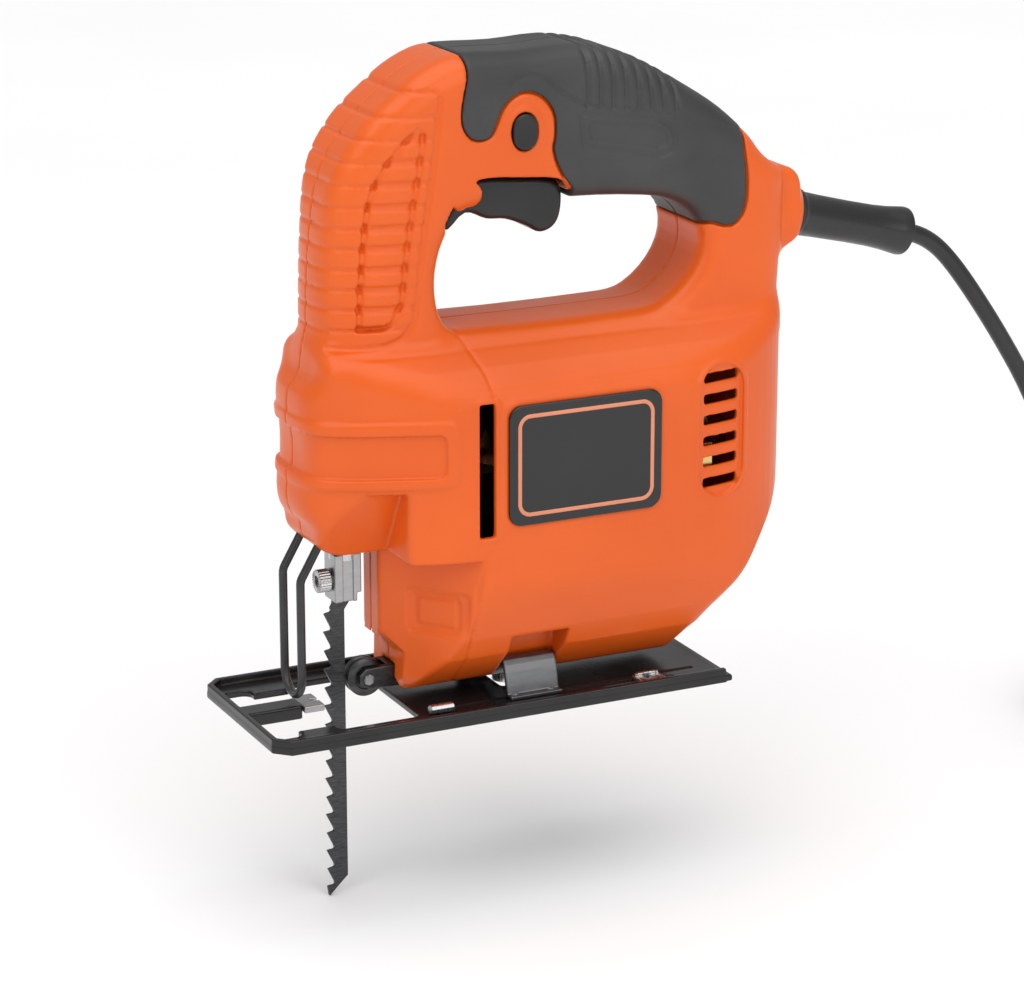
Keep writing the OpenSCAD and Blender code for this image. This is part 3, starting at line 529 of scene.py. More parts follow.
# Finger guard: its wire's plane and half width, the radius, lean and height of its bend
GUARD_X, GUARD_HALF, GUARD_BEND, GUARD_LEAN, GUARD_BEND_Z = 55.2, 6.2, 4.0, math.radians(30), 39.8
RELIEF_FROM = (-98, 127.5)
RELIEF_TILT = math.radians(14)
RIB_LEVELS = [173.9, 167.5, 161.7, 155.8, 149.9, 144.0, 138.3, 132.9, 127.2, 121.8, 116.3, 110.6]
LADDER_FRONT = [(23.4, 163.9), (28.9, 158.8), (33.2, 153.6), (36.7, 147.1), (38.2, 138.8), (39.3, 127.6),
                (40.1, 111.6)]
LADDER_REAR = [(21.8, 162.5), (23.1, 152.7), (25.0, 143.2), (26.9, 130.4), (28.3, 117.8), (30.8, 112.4),
               (33.5, 111.3), (40.1, 111.2)]
PAD_BORDER = [(16.9, 172), (18.9, 154.6), (22.1, 134.4), (24.7, 113.7), (28.1, 108.3), (33.9, 106.3),
              (48, 106.3)]
GEAR_PLATE = [(-20, 50), (20, 50), (24, 55), (24, 88), (19, 95), (12, 101), (-12, 101)]
SEAM_UP = [(15, 112), (10.5, 105), (8.2, 98), (7.5, 91)]
SEAM_DOWN = [(7.4, 53), (10.6, 43.9), (11.6, 37.6), (11.9, 4)]


def closed_half(points):
    """Full symmetric outline from its half, which starts and ends on the centre line."""
    return points + [(a, -b) for a, b in reversed(points) if b > 0]


def outer_fields(g):
    """Outer skins of the motor pod and of the handle with its columns."""
    side = g.side(outline(curve_through(POD_SIDE, 3, sharp=(0, 1, 2, 16, 17, 25, 26))))
    plan = g.plan(outline(curve_through(closed_half(POD_HALF_PLAN), 3)))
    full = POD_HALF_SECTION + [(-a, b) for a, b in reversed(POD_HALF_SECTION[1:-1])]
    section = g.section(outline(full))
    pod = meet(meet(side, plan, 3.0), section, 4.0)
    leg = g.plan(outline(closed_half(LEG_HALF_PLAN)))
    pod = cut(pod, np.maximum(-leg, g.z - 47), 0.9)
    bevels = g.section(outline([(8, 45), (42, 45), (42, 67), (20, 67)]))
    pod = cut(pod, np.maximum(bevels, 31 - g.x), 1.2)
    side = g.side(outline(curve_through(UPPER_SIDE, 3, sharp=(0, 26))))
    hole = g.side(outline(curve_through(FINGER_HOLE, 3)))
    plan = g.plan(outline(curve_through(closed_half(UPPER_HALF_PLAN), 3)))
    slab = np.abs(g.y) - HANDLE_HALF
    upper = meet(meet(side, slab, 8.5), plan, 3.0)
    return pod, cut(upper, hole, 6.5)


def add_column_pad(f, g):
    """Ribs across the front column, with the ladder-like pad set in their side."""
    area = outline(curve_through(LADDER_FRONT, 3, closed=False) + list(reversed(LADDER_REAR)))
    border = g.side(path(curve_through(PAD_BORDER, 3, closed=False)))
    inner = g.side(area)
    beyond_border = g.side(outline(PAD_BORDER + [(70, 106.3), (70, 190), (16.9, 190)]))
    for level in RIB_LEVELS:
        line = np.abs(g.z - level - 0.03 * (g.x - 30))
        soft = np.maximum(line, np.maximum(0, beyond_border + 1.2))
        soft = np.maximum(soft, np.maximum(0, 0.9 - inner))
        f = engrave(f, soft, 0.62)
        rung = np.maximum(line, np.maximum(0, inner + 0.2))
        f = engrave(f, rung, 1.05)
    f = engrave(f, np.abs(inner), 0.9)
    return engrave(f, border, 0.85)


def add_nose_pocket(f, g):
    """Raised field on the side of the nose, with a pocket in it."""
    frame_area = g.side(rectangle(17.5, 80, 68.6, 87.2, 4))
    f = raise_area(f, frame_area, 0.9, 0.8)
    pocket = g.side(rectangle(21.3, 80, 71.6, 83.6, 2.2))
    return recess(f, pocket, 1.7, 0.4)


def add_vents(f, g):
    """Six short slots in a sunken field at the rear, and one tall slot in a raised rim."""
    middle = (VENT_X0 + VENT_X1) / 2
    stadium = g.side(rectangle(middle - 8.3, middle + 8.3, 55.2, 94.2, 8.3))
    f = raise_area(f, np.abs(stadium) - 0.7, 0.5, 0.4)
    f = recess(f, stadium + 0.7, 0.9, 0.3)
    for i in range(6):
        level = VENT_Z0 + i * VENT_PITCH
        slot = soft_box(g, VENT_X0, VENT_X1, 10, 40, level - 1.35, level + 1.35, 0.5)
        f = cut(f, slot, 0.35)
    rim = g.side(rectangle(6.4, 13.4, 52.3, 92.2, 1.0))
    f = raise_area(f, rim, 0.4, 0.4)
    return cut(f, soft_box(g, 7.6, 12.2, 24, 40, 53.5, 91, 0.4), 0.4)


def add_tool_pad(f, g):
    """Plain square recess with a thin frame in it, on the slanted side of the leg."""
    pad = g.side(rectangle(13.4, 25.6, 23.8, 36.6, 1.2))
    f = recess(f, pad, 0.6, 0.3)
    inner = g.side(rectangle(15.4, 23.6, 25.8, 34.6, 0.8))
    return engrave(f, np.abs(inner), 0.55)


def on_relief_axis(g):
    """Distance along the strain relief's axis from the gland, and away from it."""
    dx, dz = g.x - RELIEF_FROM[0], g.z - RELIEF_FROM[1]
    ax, az = -math.cos(RELIEF_TILT), -math.sin(RELIEF_TILT)
    along = dx * ax + dz * az
    away = np.sqrt(np.maximum(dx ** 2 + dz ** 2 - along ** 2, 0) + g.y ** 2)
    return along, away


def add_leg_details(f, g):
    """Hollow in the slanted face at the foot of the leg, and the two seams of the pod."""
    hollow = g.side(outline([(31.3, 22.6), (26.4, 17.4), (26.9, 9.2), (29.2, 7.8), (31.0, 12.5)]))
    f = recess(f, np.maximum(hollow, g.y - 14), 3.4, 0.3)
    f = engrave(f, g.side(path(SEAM_UP)), 0.5)
    return engrave(f, g.side(path(curve_through(SEAM_DOWN, 3, closed=False))), 0.5)


def add_badge_seat(f, g):
    badge = g.side(rectangle(*BADGE, 4))
    f = raise_area(f, badge - 1.8, 0.35, 0.6)
    return cut(f, np.maximum(badge - 0.05, 30 - g.y))


def add_island_and_gland(f, g):
    """Island of the lock-on button, and the gland that holds the strain relief."""
    f = raise_area(f, g.side(ellipse(*LOCK_AT, 5.6, 6.9)), 0.4, 0.7)
    along, away = on_relief_axis(g)
    return join(f, meet(away - 9.2, np.abs(along + 4.5) - 4.8, 1.4), 2.0)


def hollow_out(f, g, pod, upper):
    """Hollows the half to its wall, and cuts the seats of the parts inside and of the bevel bracket."""
    bevel_away = np.hypot(g.y, g.z - BEVEL_Z)
    from_saddle = np.abs(g.x - SADDLE_X)
    cavity = np.minimum(pod + WALL, upper + GRIP_T + WALL)
    keep = np.maximum(bevel_away - BEVEL_KEEP_R, from_saddle - 11)
    for limits in ((11, 19, -5, 40, 46, 106), (32.5, 60, -5, 40, 63.8, 71.2), (18, 40, -5, 40, -5, 24)):
        keep = np.minimum(keep, soft_box(g, *limits, 0.3))
    for px, pz, _ in POSTS:
        keep = np.minimum(keep, np.hypot(g.x - px, g.z - pz) - 4.4)
    f = cut(f, np.maximum(cavity, -keep))
    f = cut(f, rod(g, 0, -80, 33, 8, 0, MOTOR_Z))
    f = cut(f, np.maximum(g.section(outline(GEAR_PLATE)), np.abs(g.x - 15) - 2))
    f = cut(f, box(g, 10.9, 19.1, -5, 20, 52, 100))
    f = cut(f, rod(g, 2, 46, 141, 4.6, STROKE_X, 0))
    f = cut(f, rod(g, 2, 63.8, 71.2, 6.5, STROKE_X, 0))
    relief = np.maximum(bevel_away - BEVEL_RELIEF_R, from_saddle - (SADDLE_HALF + 0.7))
    relief = np.maximum(relief, g.z - BEVEL_RELIEF_TOP)
    f = cut(f, np.maximum(relief, SPINE_R - bevel_away), 0.3)
    return cut(f, rod(g, 2, 0, 13, 2.6, SADDLE_X, 0))


def cut_openings(f, g, is_left):
    """Mouth round the blade clamp, and the seats of the fork, guard, trigger, button, cord and screws."""
    f = cut(f, soft_box(g, 34.3, 49.6, -5, 4.9, 40, 63.8, 0.3), 0.3)
    f = cut(f, box(g, 18, 33, -5, 4.2, 5.6, 12))
    f = cut(f, guard_socket(g, 1.25))
    window = g.side(outline(curve_through(TRIGGER_SIDE, 3))) - 0.7
    ear = np.hypot(g.x - TRIGGER_PIVOT[0], g.z - TRIGGER_PIVOT[1]) - 4.4
    f = cut(f, np.maximum(window, -ear), 0.5)
    sweep = g.side(outline(turned(TRIGGER_SIDE, TRIGGER_PIVOT, -8.5))) - 0.7
    f = cut(f, np.maximum(np.minimum(window, sweep), g.y - TRIGGER_HALF - 0.5))
    along, away = on_relief_axis(g)
    if is_left:
        f = cut(f, np.maximum(g.side(ellipse(*LOCK_AT, 3.95, 5.25)), 8 - g.y), 0.3)
    f = cut(f, np.maximum(away - 6.35, np.abs(along) - 16))
    if not is_left:
        for px, pz, depth in POSTS:
            f = cut(f, rod(g, 1, depth - 2.4, 45, 3.2, px, pz), 0.3)
            f = cut(f, rod(g, 1, -5, 45, 1.7, px, pz))
    return np.maximum(f, HALF_GAP - g.y)


def housing_half_field(g, is_left):
    """Field of one half, drawn as the left one, with the fields that its grip needs."""
    pod, upper = outer_fields(g)
    grip_region = g.side(outline(curve_through(GRIP_AREA, 3, sharp=(0, 15, 16, 17, 23, 24))))
    # Housing skin sinks under the grip
    skin = np.maximum(upper, np.minimum(upper + GRIP_T, 0.25 - grip_region))
    f = join(pod, skin, 3.5)
    for add in (add_column_pad, add_nose_pocket, add_tool_pad, add_leg_details, add_badge_seat, add_vents,
                add_island_and_gland):
        f = add(f, g)
    return cut_openings(hollow_out(f, g, pod, upper), g, is_left), upper, grip_region


def turned(points, pivot, degrees):
    """Points of a side outline, turned about a pivot."""
    c, s = math.cos(math.radians(degrees)), math.sin(math.radians(degrees))
    return [(pivot[0] + c * (x - pivot[0]) - s * (z - pivot[1]),
             pivot[1] + s * (x - pivot[0]) + c * (z - pivot[1])) for x, z in points]


def guard_socket(g, r):
    """Socket of the finger guard's sloping leg."""
    sine, cosine = math.sin(GUARD_LEAN), math.cos(GUARD_LEAN)
    dx = g.x - (GUARD_X - GUARD_BEND * (1 - cosine))
    dy, dz = g.y - GUARD_HALF, g.z - (GUARD_BEND_Z + GUARD_BEND * sine)
    along = -sine * dx + cosine * dz
    away = np.sqrt(np.maximum(dx ** 2 + dz ** 2 - along ** 2, 0) + dy ** 2)
    return np.maximum(away - r, np.abs(along - 5) - 6)


TIER = [(-3.7, 174.3), (-8.3, 176.0), (-13.5, 174.9), (-18.9, 170.7), (-24.2, 167.5), (-28.1, 166.1),
        (-40.5, 164.0), (-51.4, 162.0)]


def grip_field(g, upper, grip_region):
    """Soft overmould: fine ribs behind, a tier line, a long plain recess, a small sunken pad and a leaf."""
    f = meet(upper - 0.15, grip_region + 0.05, 0.5)
    tier = curve_through(TIER, 3, closed=False)
    below = g.side(outline(tier + [(-58, 161), (-90, 150), (-90, 120), (10, 120), (1.5, 161), (0, 168)]))
    f = np.maximum(f, np.minimum(f + 0.35, 0.3 - below))
    f = engrave(f, g.side(path(tier)), 0.45)
    for i in range(8):
        top = -26.2 - 3.65 * i
        bottom = -26.6 - 3.85 * i
        line = g.side(path([(top, 190), (bottom, 166.4 - 0.5 * i)]))
        f = engrave(f, line, 0.75)
    recess_area = [(-24.5, 164.4), (-47.5, 161.2), (-51.9, 158.8), (-53.6, 155.0), (-52.0, 151.6),
                   (-48.4, 150.9), (-25.4, 155.6)]
    label = g.side(outline(recess_area))
    f = engrave(f, np.abs(label), 0.65)
    f = recess(f, label + 2.0, 0.7, 0.3)
    pad = g.side(outline([(-24.2, 152.7), (-47.5, 148.6), (-46.2, 144.0), (-25.2, 146.2)]))
    f = recess(f, pad, 0.35, 0.2)
    leaf = g.side(ellipse(3.6, 168, 2.0, 4.4))
    f = engrave(f, np.abs(leaf), 0.4)
    inner = -(upper + GRIP_T)
    return np.maximum(np.maximum(f, inner), HALF_GAP - g.y)


def make_housing(m):
    step = 0.62
    low, high = (-101.0, -0.9, 2.0), (59.0, 33.0, 184.5)
    g = Grid(low, high, step)
    for is_left in (True, False):
        side = "left" if is_left else "right"
        field, upper, grip_region = housing_half_field(g, is_left)
        half = solid(side + "_housing_half", g, field, m["orange"], mirror=not is_left)
        finish_piece(half, "body", "housing", side + "_housing")
        field = grip_field(g, upper, grip_region)
        grip = solid(side + "_grip_skin", g, field, m["grip"], mirror=not is_left)
        finish_piece(grip, "body", "grip", side + "_grip")


# Turned, swept and sheet pieces ------------------------------------------------------------------
def circle(centre, side, other, radius, sides):
    """Points round a centre, in the plane of two unit vectors."""
    angles = [2 * math.pi * k / sides for k in range(sides)]
    return [centre + (side * math.cos(a) + other * math.sin(a)) * radius for a in angles]


def skin_rings(name, rings, material):
    """Mesh object through equal rings of points, with flat ends."""
    sides = len(rings[0])
    faces = []
    for i in range(len(rings) - 1):
        for k in range(sides):
            n = (k + 1) % sides
            faces.append((i * sides + k, i * sides + n, (i + 1) * sides + n, (i + 1) * sides + k))
    last = (len(rings) - 1) * sides
    faces += [tuple(reversed(range(sides))), tuple(range(last, last + sides))]
    return keep_edges(mesh_object(name, [tuple(p) for ring in rings for p in ring], faces, material))


def turned_piece(name, start, direction, profile, material, sides):
    """Solid of revolution from (along, radius) pairs, from one end of the axis to the other."""
    axis = Vector(direction).normalized()
    side = axis.orthogonal().normalized()
    other = axis.cross(side)
    rings = [circle(Vector(start) + axis * along, side, other, radius, sides) for along, radius in profile]
    return skin_rings(name, rings, material)


def keep_edges(piece, degrees=38):
    """Shades edges sharper than the angle as edges."""
    data = piece.data
    b = bmesh.new()
    b.from_mesh(data)
    for edge in b.edges:
        edge.smooth = len(edge.link_faces) == 2 and edge.calc_face_angle(0) < math.radians(degrees)
    b.to_mesh(data)
    b.free()
    return piece


def rod_profile(length, radius, chamfer):
    return [(0, radius - chamfer), (chamfer, radius), (length - chamfer, radius), (length, radius - chamfer)]


def joined(name, pieces):
    """Joins pieces into the first one."""
    b = bmesh.new()
    for piece in pieces:
        b.from_mesh(piece.data)
    b.to_mesh(pieces[0].data)
    b.free()
    for piece in pieces[1:]:
        bpy.data.objects.remove(piece, do_unlink=True)
    pieces[0].name = name
    return pieces[0]


def wire(name, line, radius, material, sides=20):
    """Round wire along a line of points, with flat ends."""
    pts = [Vector(p) for p in line]
    side = (pts[1] - pts[0]).orthogonal().normalized()
    rings = []
    for i, p in enumerate(pts):
        heading = (pts[min(i + 1, len(pts) - 1)] - pts[max(i - 1, 0)]).normalized()
        side = (side - heading * side.dot(heading)).normalized()
        rings.append(circle(p, side, heading.cross(side), radius, sides))
    return skin_rings(name, rings, material)


def grid_round(low, high, step):
    return Grid([a - 3 * step for a in low], [b + 3 * step for b in high], step)


# Trigger, button, badges ----------------------------------------------------------------------
def make_trigger(m):
    g = grid_round((-22, -TRIGGER_HALF, 131), (15, TRIGGER_HALF, 149.5), 0.35)
    side = g.side(outline(curve_through(TRIGGER_SIDE, 4)))
    f = meet(side, np.abs(g.y) - TRIGGER_HALF + 0.05, 2.2)
    f = cut(f, rod(g, 1, -20, 20, 1.55, *TRIGGER_PIVOT))
    finish_piece(solid("trigger_lever", g, f, m["black"]), "trigger", "black_plastic", "trigger")
    g = grid_round((-13, 11, 154), (-2, 17.4, 168), 0.22)
    x, z = LOCK_AT
    cap = meet(g.side(rectangle(x - 3.6, x + 3.6, z - 4.9, z + 4.9, 3.55)), np.abs(g.y - 14.85) - 2.5, 0.9)
    dish = np.sqrt((g.x - x) ** 2 + (g.y - 33) ** 2 + 0.5 * (g.z - z) ** 2) - 16.1
    cap = cut(cap, dish, 0.5)
    flange = np.maximum(g.side(rectangle(x - 5, x + 5, z - 6.3, z + 6.3, 4.9)), np.abs(g.y - 11.8) - 0.5)
    button = solid("lock_on_button", g, np.minimum(cap, flange), m["black"])
    finish_piece(button, "lock_button", "black_plastic", "lock_button")


def make_badges(m):
    x0, x1, z0, z1 = BADGE
    g = grid_round((x0, 29.9, z0), (x1, 31.4, z1), 0.24)
    plate = g.side(rectangle(x0 + 0.15, x1 - 0.15, z0 + 0.15, z1 - 0.15, 3.9))
    plate = meet(plate, np.abs(g.y - 30.55) - 0.55, 0.35)
    inner = g.side(rectangle(x0 + 3.2, x1 - 3.2, z0 + 3.2, z1 - 3.2, 3.2))
    line = np.maximum(np.abs(inner) - 0.6, np.abs(g.y - 31.0) - 0.24)
    for side in ("left", "right"):
        mirror = side == "right"
        piece = solid(side + "_badge_plate", g, plate, m["badge"], mirror=mirror, rounds=2)
        finish_piece(piece, "body", "badge", side + "_badge")
        piece = solid(side + "_badge_outline", g, line, m["badge_line"], mirror=mirror, rounds=2)
        finish_piece(piece, "body", "badge")


# Cord, strain relief and plug -----------------------------------------------------------------
RELIEF_AXIS = (-math.cos(RELIEF_TILT), 0.0, -math.sin(RELIEF_TILT))
RELIEF_PROFILE = [(-16, 4.4), (-4.5, 4.4), (-4.5, 7.3), (-2, 7.3), (-2, 6.2), (0.4, 6.2), (0.6, 6.9),
                  (1.2, 7.0), (2.6, 7.0), (3.1, 6.6), (4.2, 6.3), (9, 6.1), (20, 5.95), (28, 6.0),
                  (33, 6.3), (36.2, 6.7), (38.6, 7.0), (39.6, 6.9), (40, 6.4), (40, 3.2), (38, 2.7),
                  (36, 2.6), (-14, 2.6), (-16, 2.6)]
# The CAD's route, except that the points at x -236 and -243 lie 0.2 and 0.1 mm higher than there
CORD_ROUTE = [(-136.81, 0, 117.82), (-141, 0, 116.6), (-145, 0, 114.7), (-149, 0, 111.8),
              (-153, 0, 107.8), (-158, 0, 101.8), (-165, 0, 92.4), (-173, 0, 80.8), (-181, 0, 68),
              (-188, 0.3, 54), (-193, 1.2, 40), (-196.5, 2.8, 26), (-199, 5, 12), (-201, 7.6, -2),
              (-203, 10.2, -14), (-206.5, 12.8, -26), (-211.5, 15.2, -36), (-218, 16.9, -44.5),
              (-226.5, 17.8, -50), (-236, 17.9, -52.2), (-243, 17.9, -52.4), (-250, 17.9, -52.1)]
COIL_AT = (-253.0, -17.0)
COIL_MID, COIL_PITCH, COIL_LAYER, COIL_LIFT = 29.5, 5.4, 5.25, 0.8
LEAD_BEND, LEAD_FROM, LEAD_TURN, LEAD_RISE = 21.0, 69.1, 110.9, 9.8
PLUG_LEN, PLUG_W, PLUG_T = 36.0, 35.0, 13.6
# Places of the turns, (column, layer) from the outer bottom one. For each change to the next place, the
# angle from the last change's start to its own, and the angle it takes
COIL_CELLS = [(1, 0), (0, 0), (-1, 0), (-1, 1), (-1, 2), (0, 2), (0, 1), (1, 1), (1, 2)]
COIL_SHIFTS = [(150, 105), (360, 105), (280, 80), (360, 80), (262, 98), (302, 58), (285, 75), (300, 60)]
COIL_ANGLE = 7 * 360 + LEAD_FROM - 90


def coil_line():
    """The coil's turns, which change place over a part of a turn each."""
    line = []
    steps = round(COIL_ANGLE / 5)
    for i in range(steps + 1):
        angle = COIL_ANGLE * i / steps
        column, layer = COIL_CELLS[0]
        start = 0
        for (wait, span), before, after in zip(COIL_SHIFTS, COIL_CELLS, COIL_CELLS[1:]):
            start += wait
            share = (1 - math.cos(math.pi * min(max((angle - start) / span, 0), 1))) / 2
            column += share * (after[0] - before[0])
            layer += share * (after[1] - before[1])
        radius = COIL_MID + column * COIL_PITCH
        turn = math.radians(90 + angle)
        line.append((COIL_AT[0] + radius * math.cos(turn), COIL_AT[1] + radius * math.sin(turn),
                     FLOOR_Z + COIL_LIFT + CORD_D / 2 + layer * COIL_LAYER))
    return line


def lead_line(coil):
    """The coil's end bends in over the coil and rises to the plug that lies on it."""
    turn_r = COIL_MID + COIL_PITCH
    start = math.radians(LEAD_FROM)
    centre = [c + (turn_r - LEAD_BEND) * f for c, f in zip(COIL_AT, (math.cos(start), math.sin(start)))]
    arc = []
    for i in range(1, 29):
        a = start + math.radians(LEAD_TURN) * i / 28
        arc.append((centre[0] + LEAD_BEND * math.cos(a), centre[1] + LEAD_BEND * math.sin(a), coil[-1][2]))
    line = coil + arc
    along = np.concatenate([[0], np.cumsum(np.linalg.norm(np.diff(np.array(line), axis=0), axis=1))])
    along = along - along[len(coil) - 1]
    rise = LEAD_RISE * (1 - np.cos(math.pi * np.clip((along + 25) / 60, 0, 1))) / 2
    return [(x, y, z + r) for (x, y, z), r in zip(line, rise)]


def smooth_route(points, parts):
    """Smooth line through points in space, up to the last one but without it."""
    pts = [np.array(p, float) for p in points]
    out = []
    for i in range(len(pts) - 1):
        p0, p1, p2, p3 = pts[max(i - 1, 0)], pts[i], pts[i + 1], pts[min(i + 2, len(pts) - 1)]
        for k in range(parts):
            t = k / parts
            out.append(tuple(0.5 * (2 * p1 + (p2 - p0) * t + (2 * p0 - 5 * p1 + 4 * p2 - p3) * t ** 2
                                    + (3 * p1 - p0 - 3 * p2 + p3) * t ** 3)))
    return out


def make_cord(m):
    relief = turned_piece("strain_relief_sleeve", (RELIEF_FROM[0], 0, RELIEF_FROM[1]), RELIEF_AXIS,
                          RELIEF_PROFILE, m["cord"], 64)
    finish_piece(relief, "body", "cord", "strain_relief")
    line = smooth_route(CORD_ROUTE, 3) + lead_line(coil_line())
    data = bpy.data.curves.new("mains_cord", "CURVE")
    data.dimensions = "3D"
    data.bevel_depth = CORD_D / 2 * MM
    data.bevel_resolution = 4
    data.use_fill_caps = True
    spline = data.splines.new("POLY")
    spline.points.add(len(line) - 1)
    for point, place in zip(spline.points, line):
        point.co = (*[c * MM for c in place], 1)
    data.materials.append(m["cord"])
    cord = new_object("mains_cord", data)
    finish_piece(cord, "body", "cord", "power_cord", "cord_coil", "plug_lead")
    plug, pins, tie = make_plug(m, line[-1])


def make_plug(m, place):
    px, py, pz = place
    low = (px - PLUG_W / 2, py - PLUG_LEN, pz - PLUG_T / 2)
    g = grid_round(low, (px + PLUG_W / 2, py, pz + PLUG_T / 2), 0.55)
    half = PLUG_W / 2 - 0.1
    neck = [(5.5, 0), (6.5, -6), (11, -14), (13.2, -19), (14.6, -25), (half, -29), (half, -PLUG_LEN)]
    plan = [(px + a, py + b) for a, b in neck] + [(px - a, py + b) for a, b in reversed(neck)]
    f = meet(g.plan(outline(plan)), np.abs(g.z - pz) - PLUG_T / 2 + 0.1, 4.5)
    for i in range(5):
        bar = np.hypot(g.y - (py - 9.5 - 2.6 * i), (np.abs(g.z - pz) - PLUG_T / 2) * 0.8)
        f = cut(f, np.maximum(bar - 0.8, np.abs(g.x - px) - 9), 0.4)
    f = engrave(f, np.abs(g.y - (py - PLUG_LEN + 2.4)), 0.5)
    plug = finish_piece(solid("plug_moulding", g, f, m["black"]), "body", "cord", "plug_body")
    pins = []
    for s in (-1, 1):
        start = (px + s * 9.2, py - PLUG_LEN, pz)
        profile = [(0, 2.0), (9.5, 2.0), (9.7, 1.9), (17.4, 1.9), (18.6, 1.4), (19, 0.7)]
        pins.append(turned_piece("pin", start, (0, -1, 0), profile, m["brass"], 32))
    pins = finish_piece(joined("plug_pins_turned", pins), "body", "brass", "plug_pins")
    cx, cy = COIL_AT[0] + COIL_MID, COIL_AT[1]
    low, height = FLOOR_Z, 17.6
    g = grid_round((cx - 9, cy - 3, low), (cx + 9, cy + 3, low + height), 0.3)
    outer = g.side(rectangle(cx - 8.95, cx + 8.95, low + 0.05, low + height - 0.05, 2.4))
    inner = g.side(rectangle(cx - 8.2, cx + 8.2, low + 0.8, low + height - 0.8, 1.8))
    strap = cut(meet(outer, np.abs(g.y - cy) - 2.9, 0.4), inner, 0.2)
    tie = solid("cord_strap", g, strap, m["black"])
    return plug, pins, finish_piece(tie, "body", "black_plastic", "cord_tie")


# Saw side -------------------------------------------------------------------------------------
def make_guard(m):
    """Bent steel wire, its two ends let into the nose."""
    let_in, low_z = 10.7, 12.9
    bend = []
    for i in range(9):
        a = GUARD_LEAN * (1 - i / 8)
        bend.append((GUARD_X - GUARD_BEND * (1 - math.cos(a)), GUARD_BEND_Z + GUARD_BEND * math.sin(a)))
    top = (bend[0][0] - let_in * math.sin(GUARD_LEAN), bend[0][1] + let_in * math.cos(GUARD_LEAN))
    leg = [top] + bend
    line = [(x, GUARD_HALF, z) for x, z in leg]
    for i in range(25):
        a = math.pi * i / 24
        line.append((GUARD_X, GUARD_HALF * math.cos(a), low_z - GUARD_HALF * math.sin(a)))
    line += [(x, -GUARD_HALF, z) for x, z in reversed(leg)]
    finish_piece(wire("guard_wire", line, 1.2, m["guard"]), "body", "steel", "finger_guard")


def make_clamp(m):
    x = STROKE_X
    g = grid_round((x - 4, -4, 32), (x + 4, 4, 46), 0.18)
    f = soft_box(g, x - 3.95, x + 3.95, -3.95, 3.95, 32.05, 45.95, 0.5)
    f = cut(f, np.maximum(np.abs(g.x - x) - 1.5, 3.3 - np.abs(g.y)), 0.25)
    f = cut(f, box(g, x - 1.5, x + 3.5, -0.62, 0.62, 31, 43), 0.15)
    f = cut(f, rod(g, 0, x + 2.8, x + 6, 2.5, 0, 38), 0.2)
    f = cut(f, rod(g, 2, 44, 47, 3.0, x, 0))
    f = cut(f, soft_box(g, x - 6, x - 2.6, -6, 6, 30, 34.5, 0.3), 0.3)
    finish_piece(solid("clamp_block", g, f, m["zinc"]), "plunger", "zinc", "blade_clamp")
    g = grid_round((x + 3.5, -3.2, 34.8), (x + 8, 3.2, 41.2), 0.14)
    head = meet(np.hypot(g.y, g.z - 38) - 3.15, np.abs(g.x - x - 6.15) - 1.8, 0.35)
    knurl = np.cos(24 * np.arctan2(g.z - 38, g.y)) * 0.12
    neck = rod(g, 0, x + 3.55, x + 5, 2.35, 0, 38)
    key = np.maximum(np.abs(g.y), np.abs(g.y) * 0.5 + np.abs(g.z - 38) * 0.866) - 1.5
    f = cut(np.minimum(head + knurl, neck), np.maximum(key, x + 6 - g.x), 0.1)
    finish_piece(solid("clamp_screw_head", g, f, m["steel"]), "clamp_screw", "steel", "clamp_screw")


def make_blade(m):
    """Wood blade: large hooked teeth with alternate set, a ground point and a narrow shank."""
    x, tip = STROKE_X, -BLADE_BELOW
    count = round((BLADE_BELOW + 31) / TOOTH_PITCH)
    line = [(x - 1.4, 42.8), (x - 1.4, 31), (x, 29), (x, tip + 5.4), (x + BLADE_W - 0.4, tip)]
    for i in range(count):
        z = tip + 2.6 + i * TOOTH_PITCH
        line += [(x + BLADE_W, z), (x + BLADE_W - 0.25, z + 0.16), (x + BLADE_W - 1.9, z + 0.3),
                 (x + BLADE_W - 2.15, z + 0.6), (x + BLADE_W - 1.95, z + 0.26 * TOOTH_PITCH)]
    line += [(x + 3.4, 31), (x + 3.4, 42.8)]
    b = bmesh.new()
    half = BLADE_T / 2 - 0.02
    front = [b.verts.new((u, -half, v)) for u, v in line]
    back = [b.verts.new((u, half, v)) for u, v in line]
    sides = [b.faces.new(list(reversed(front))), b.faces.new(back)]
    for i in range(len(line)):
        n = (i + 1) % len(line)
        b.faces.new((front[i], front[n], back[n], back[i]))
    bmesh.ops.recalc_face_normals(b, faces=b.faces)
    bmesh.ops.triangulate(b, faces=sides)
    for v in b.verts:
        if v.co.x > x + BLADE_W - 0.5 and v.co.z > tip + 1:
            tooth = round((v.co.z - tip - 2.6) / TOOTH_PITCH)
            v.co.y = v.co.y * 0.62 + (0.2 if tooth % 2 else -0.2)
        v.co *= MM
    data = bpy.data.meshes.new("wood_blade")
    b.to_mesh(data)
    b.free()
    data.materials.append(m["blade"])
    finish_piece(new_object("wood_blade", data), "plunger", "blade_steel", "saw_blade")


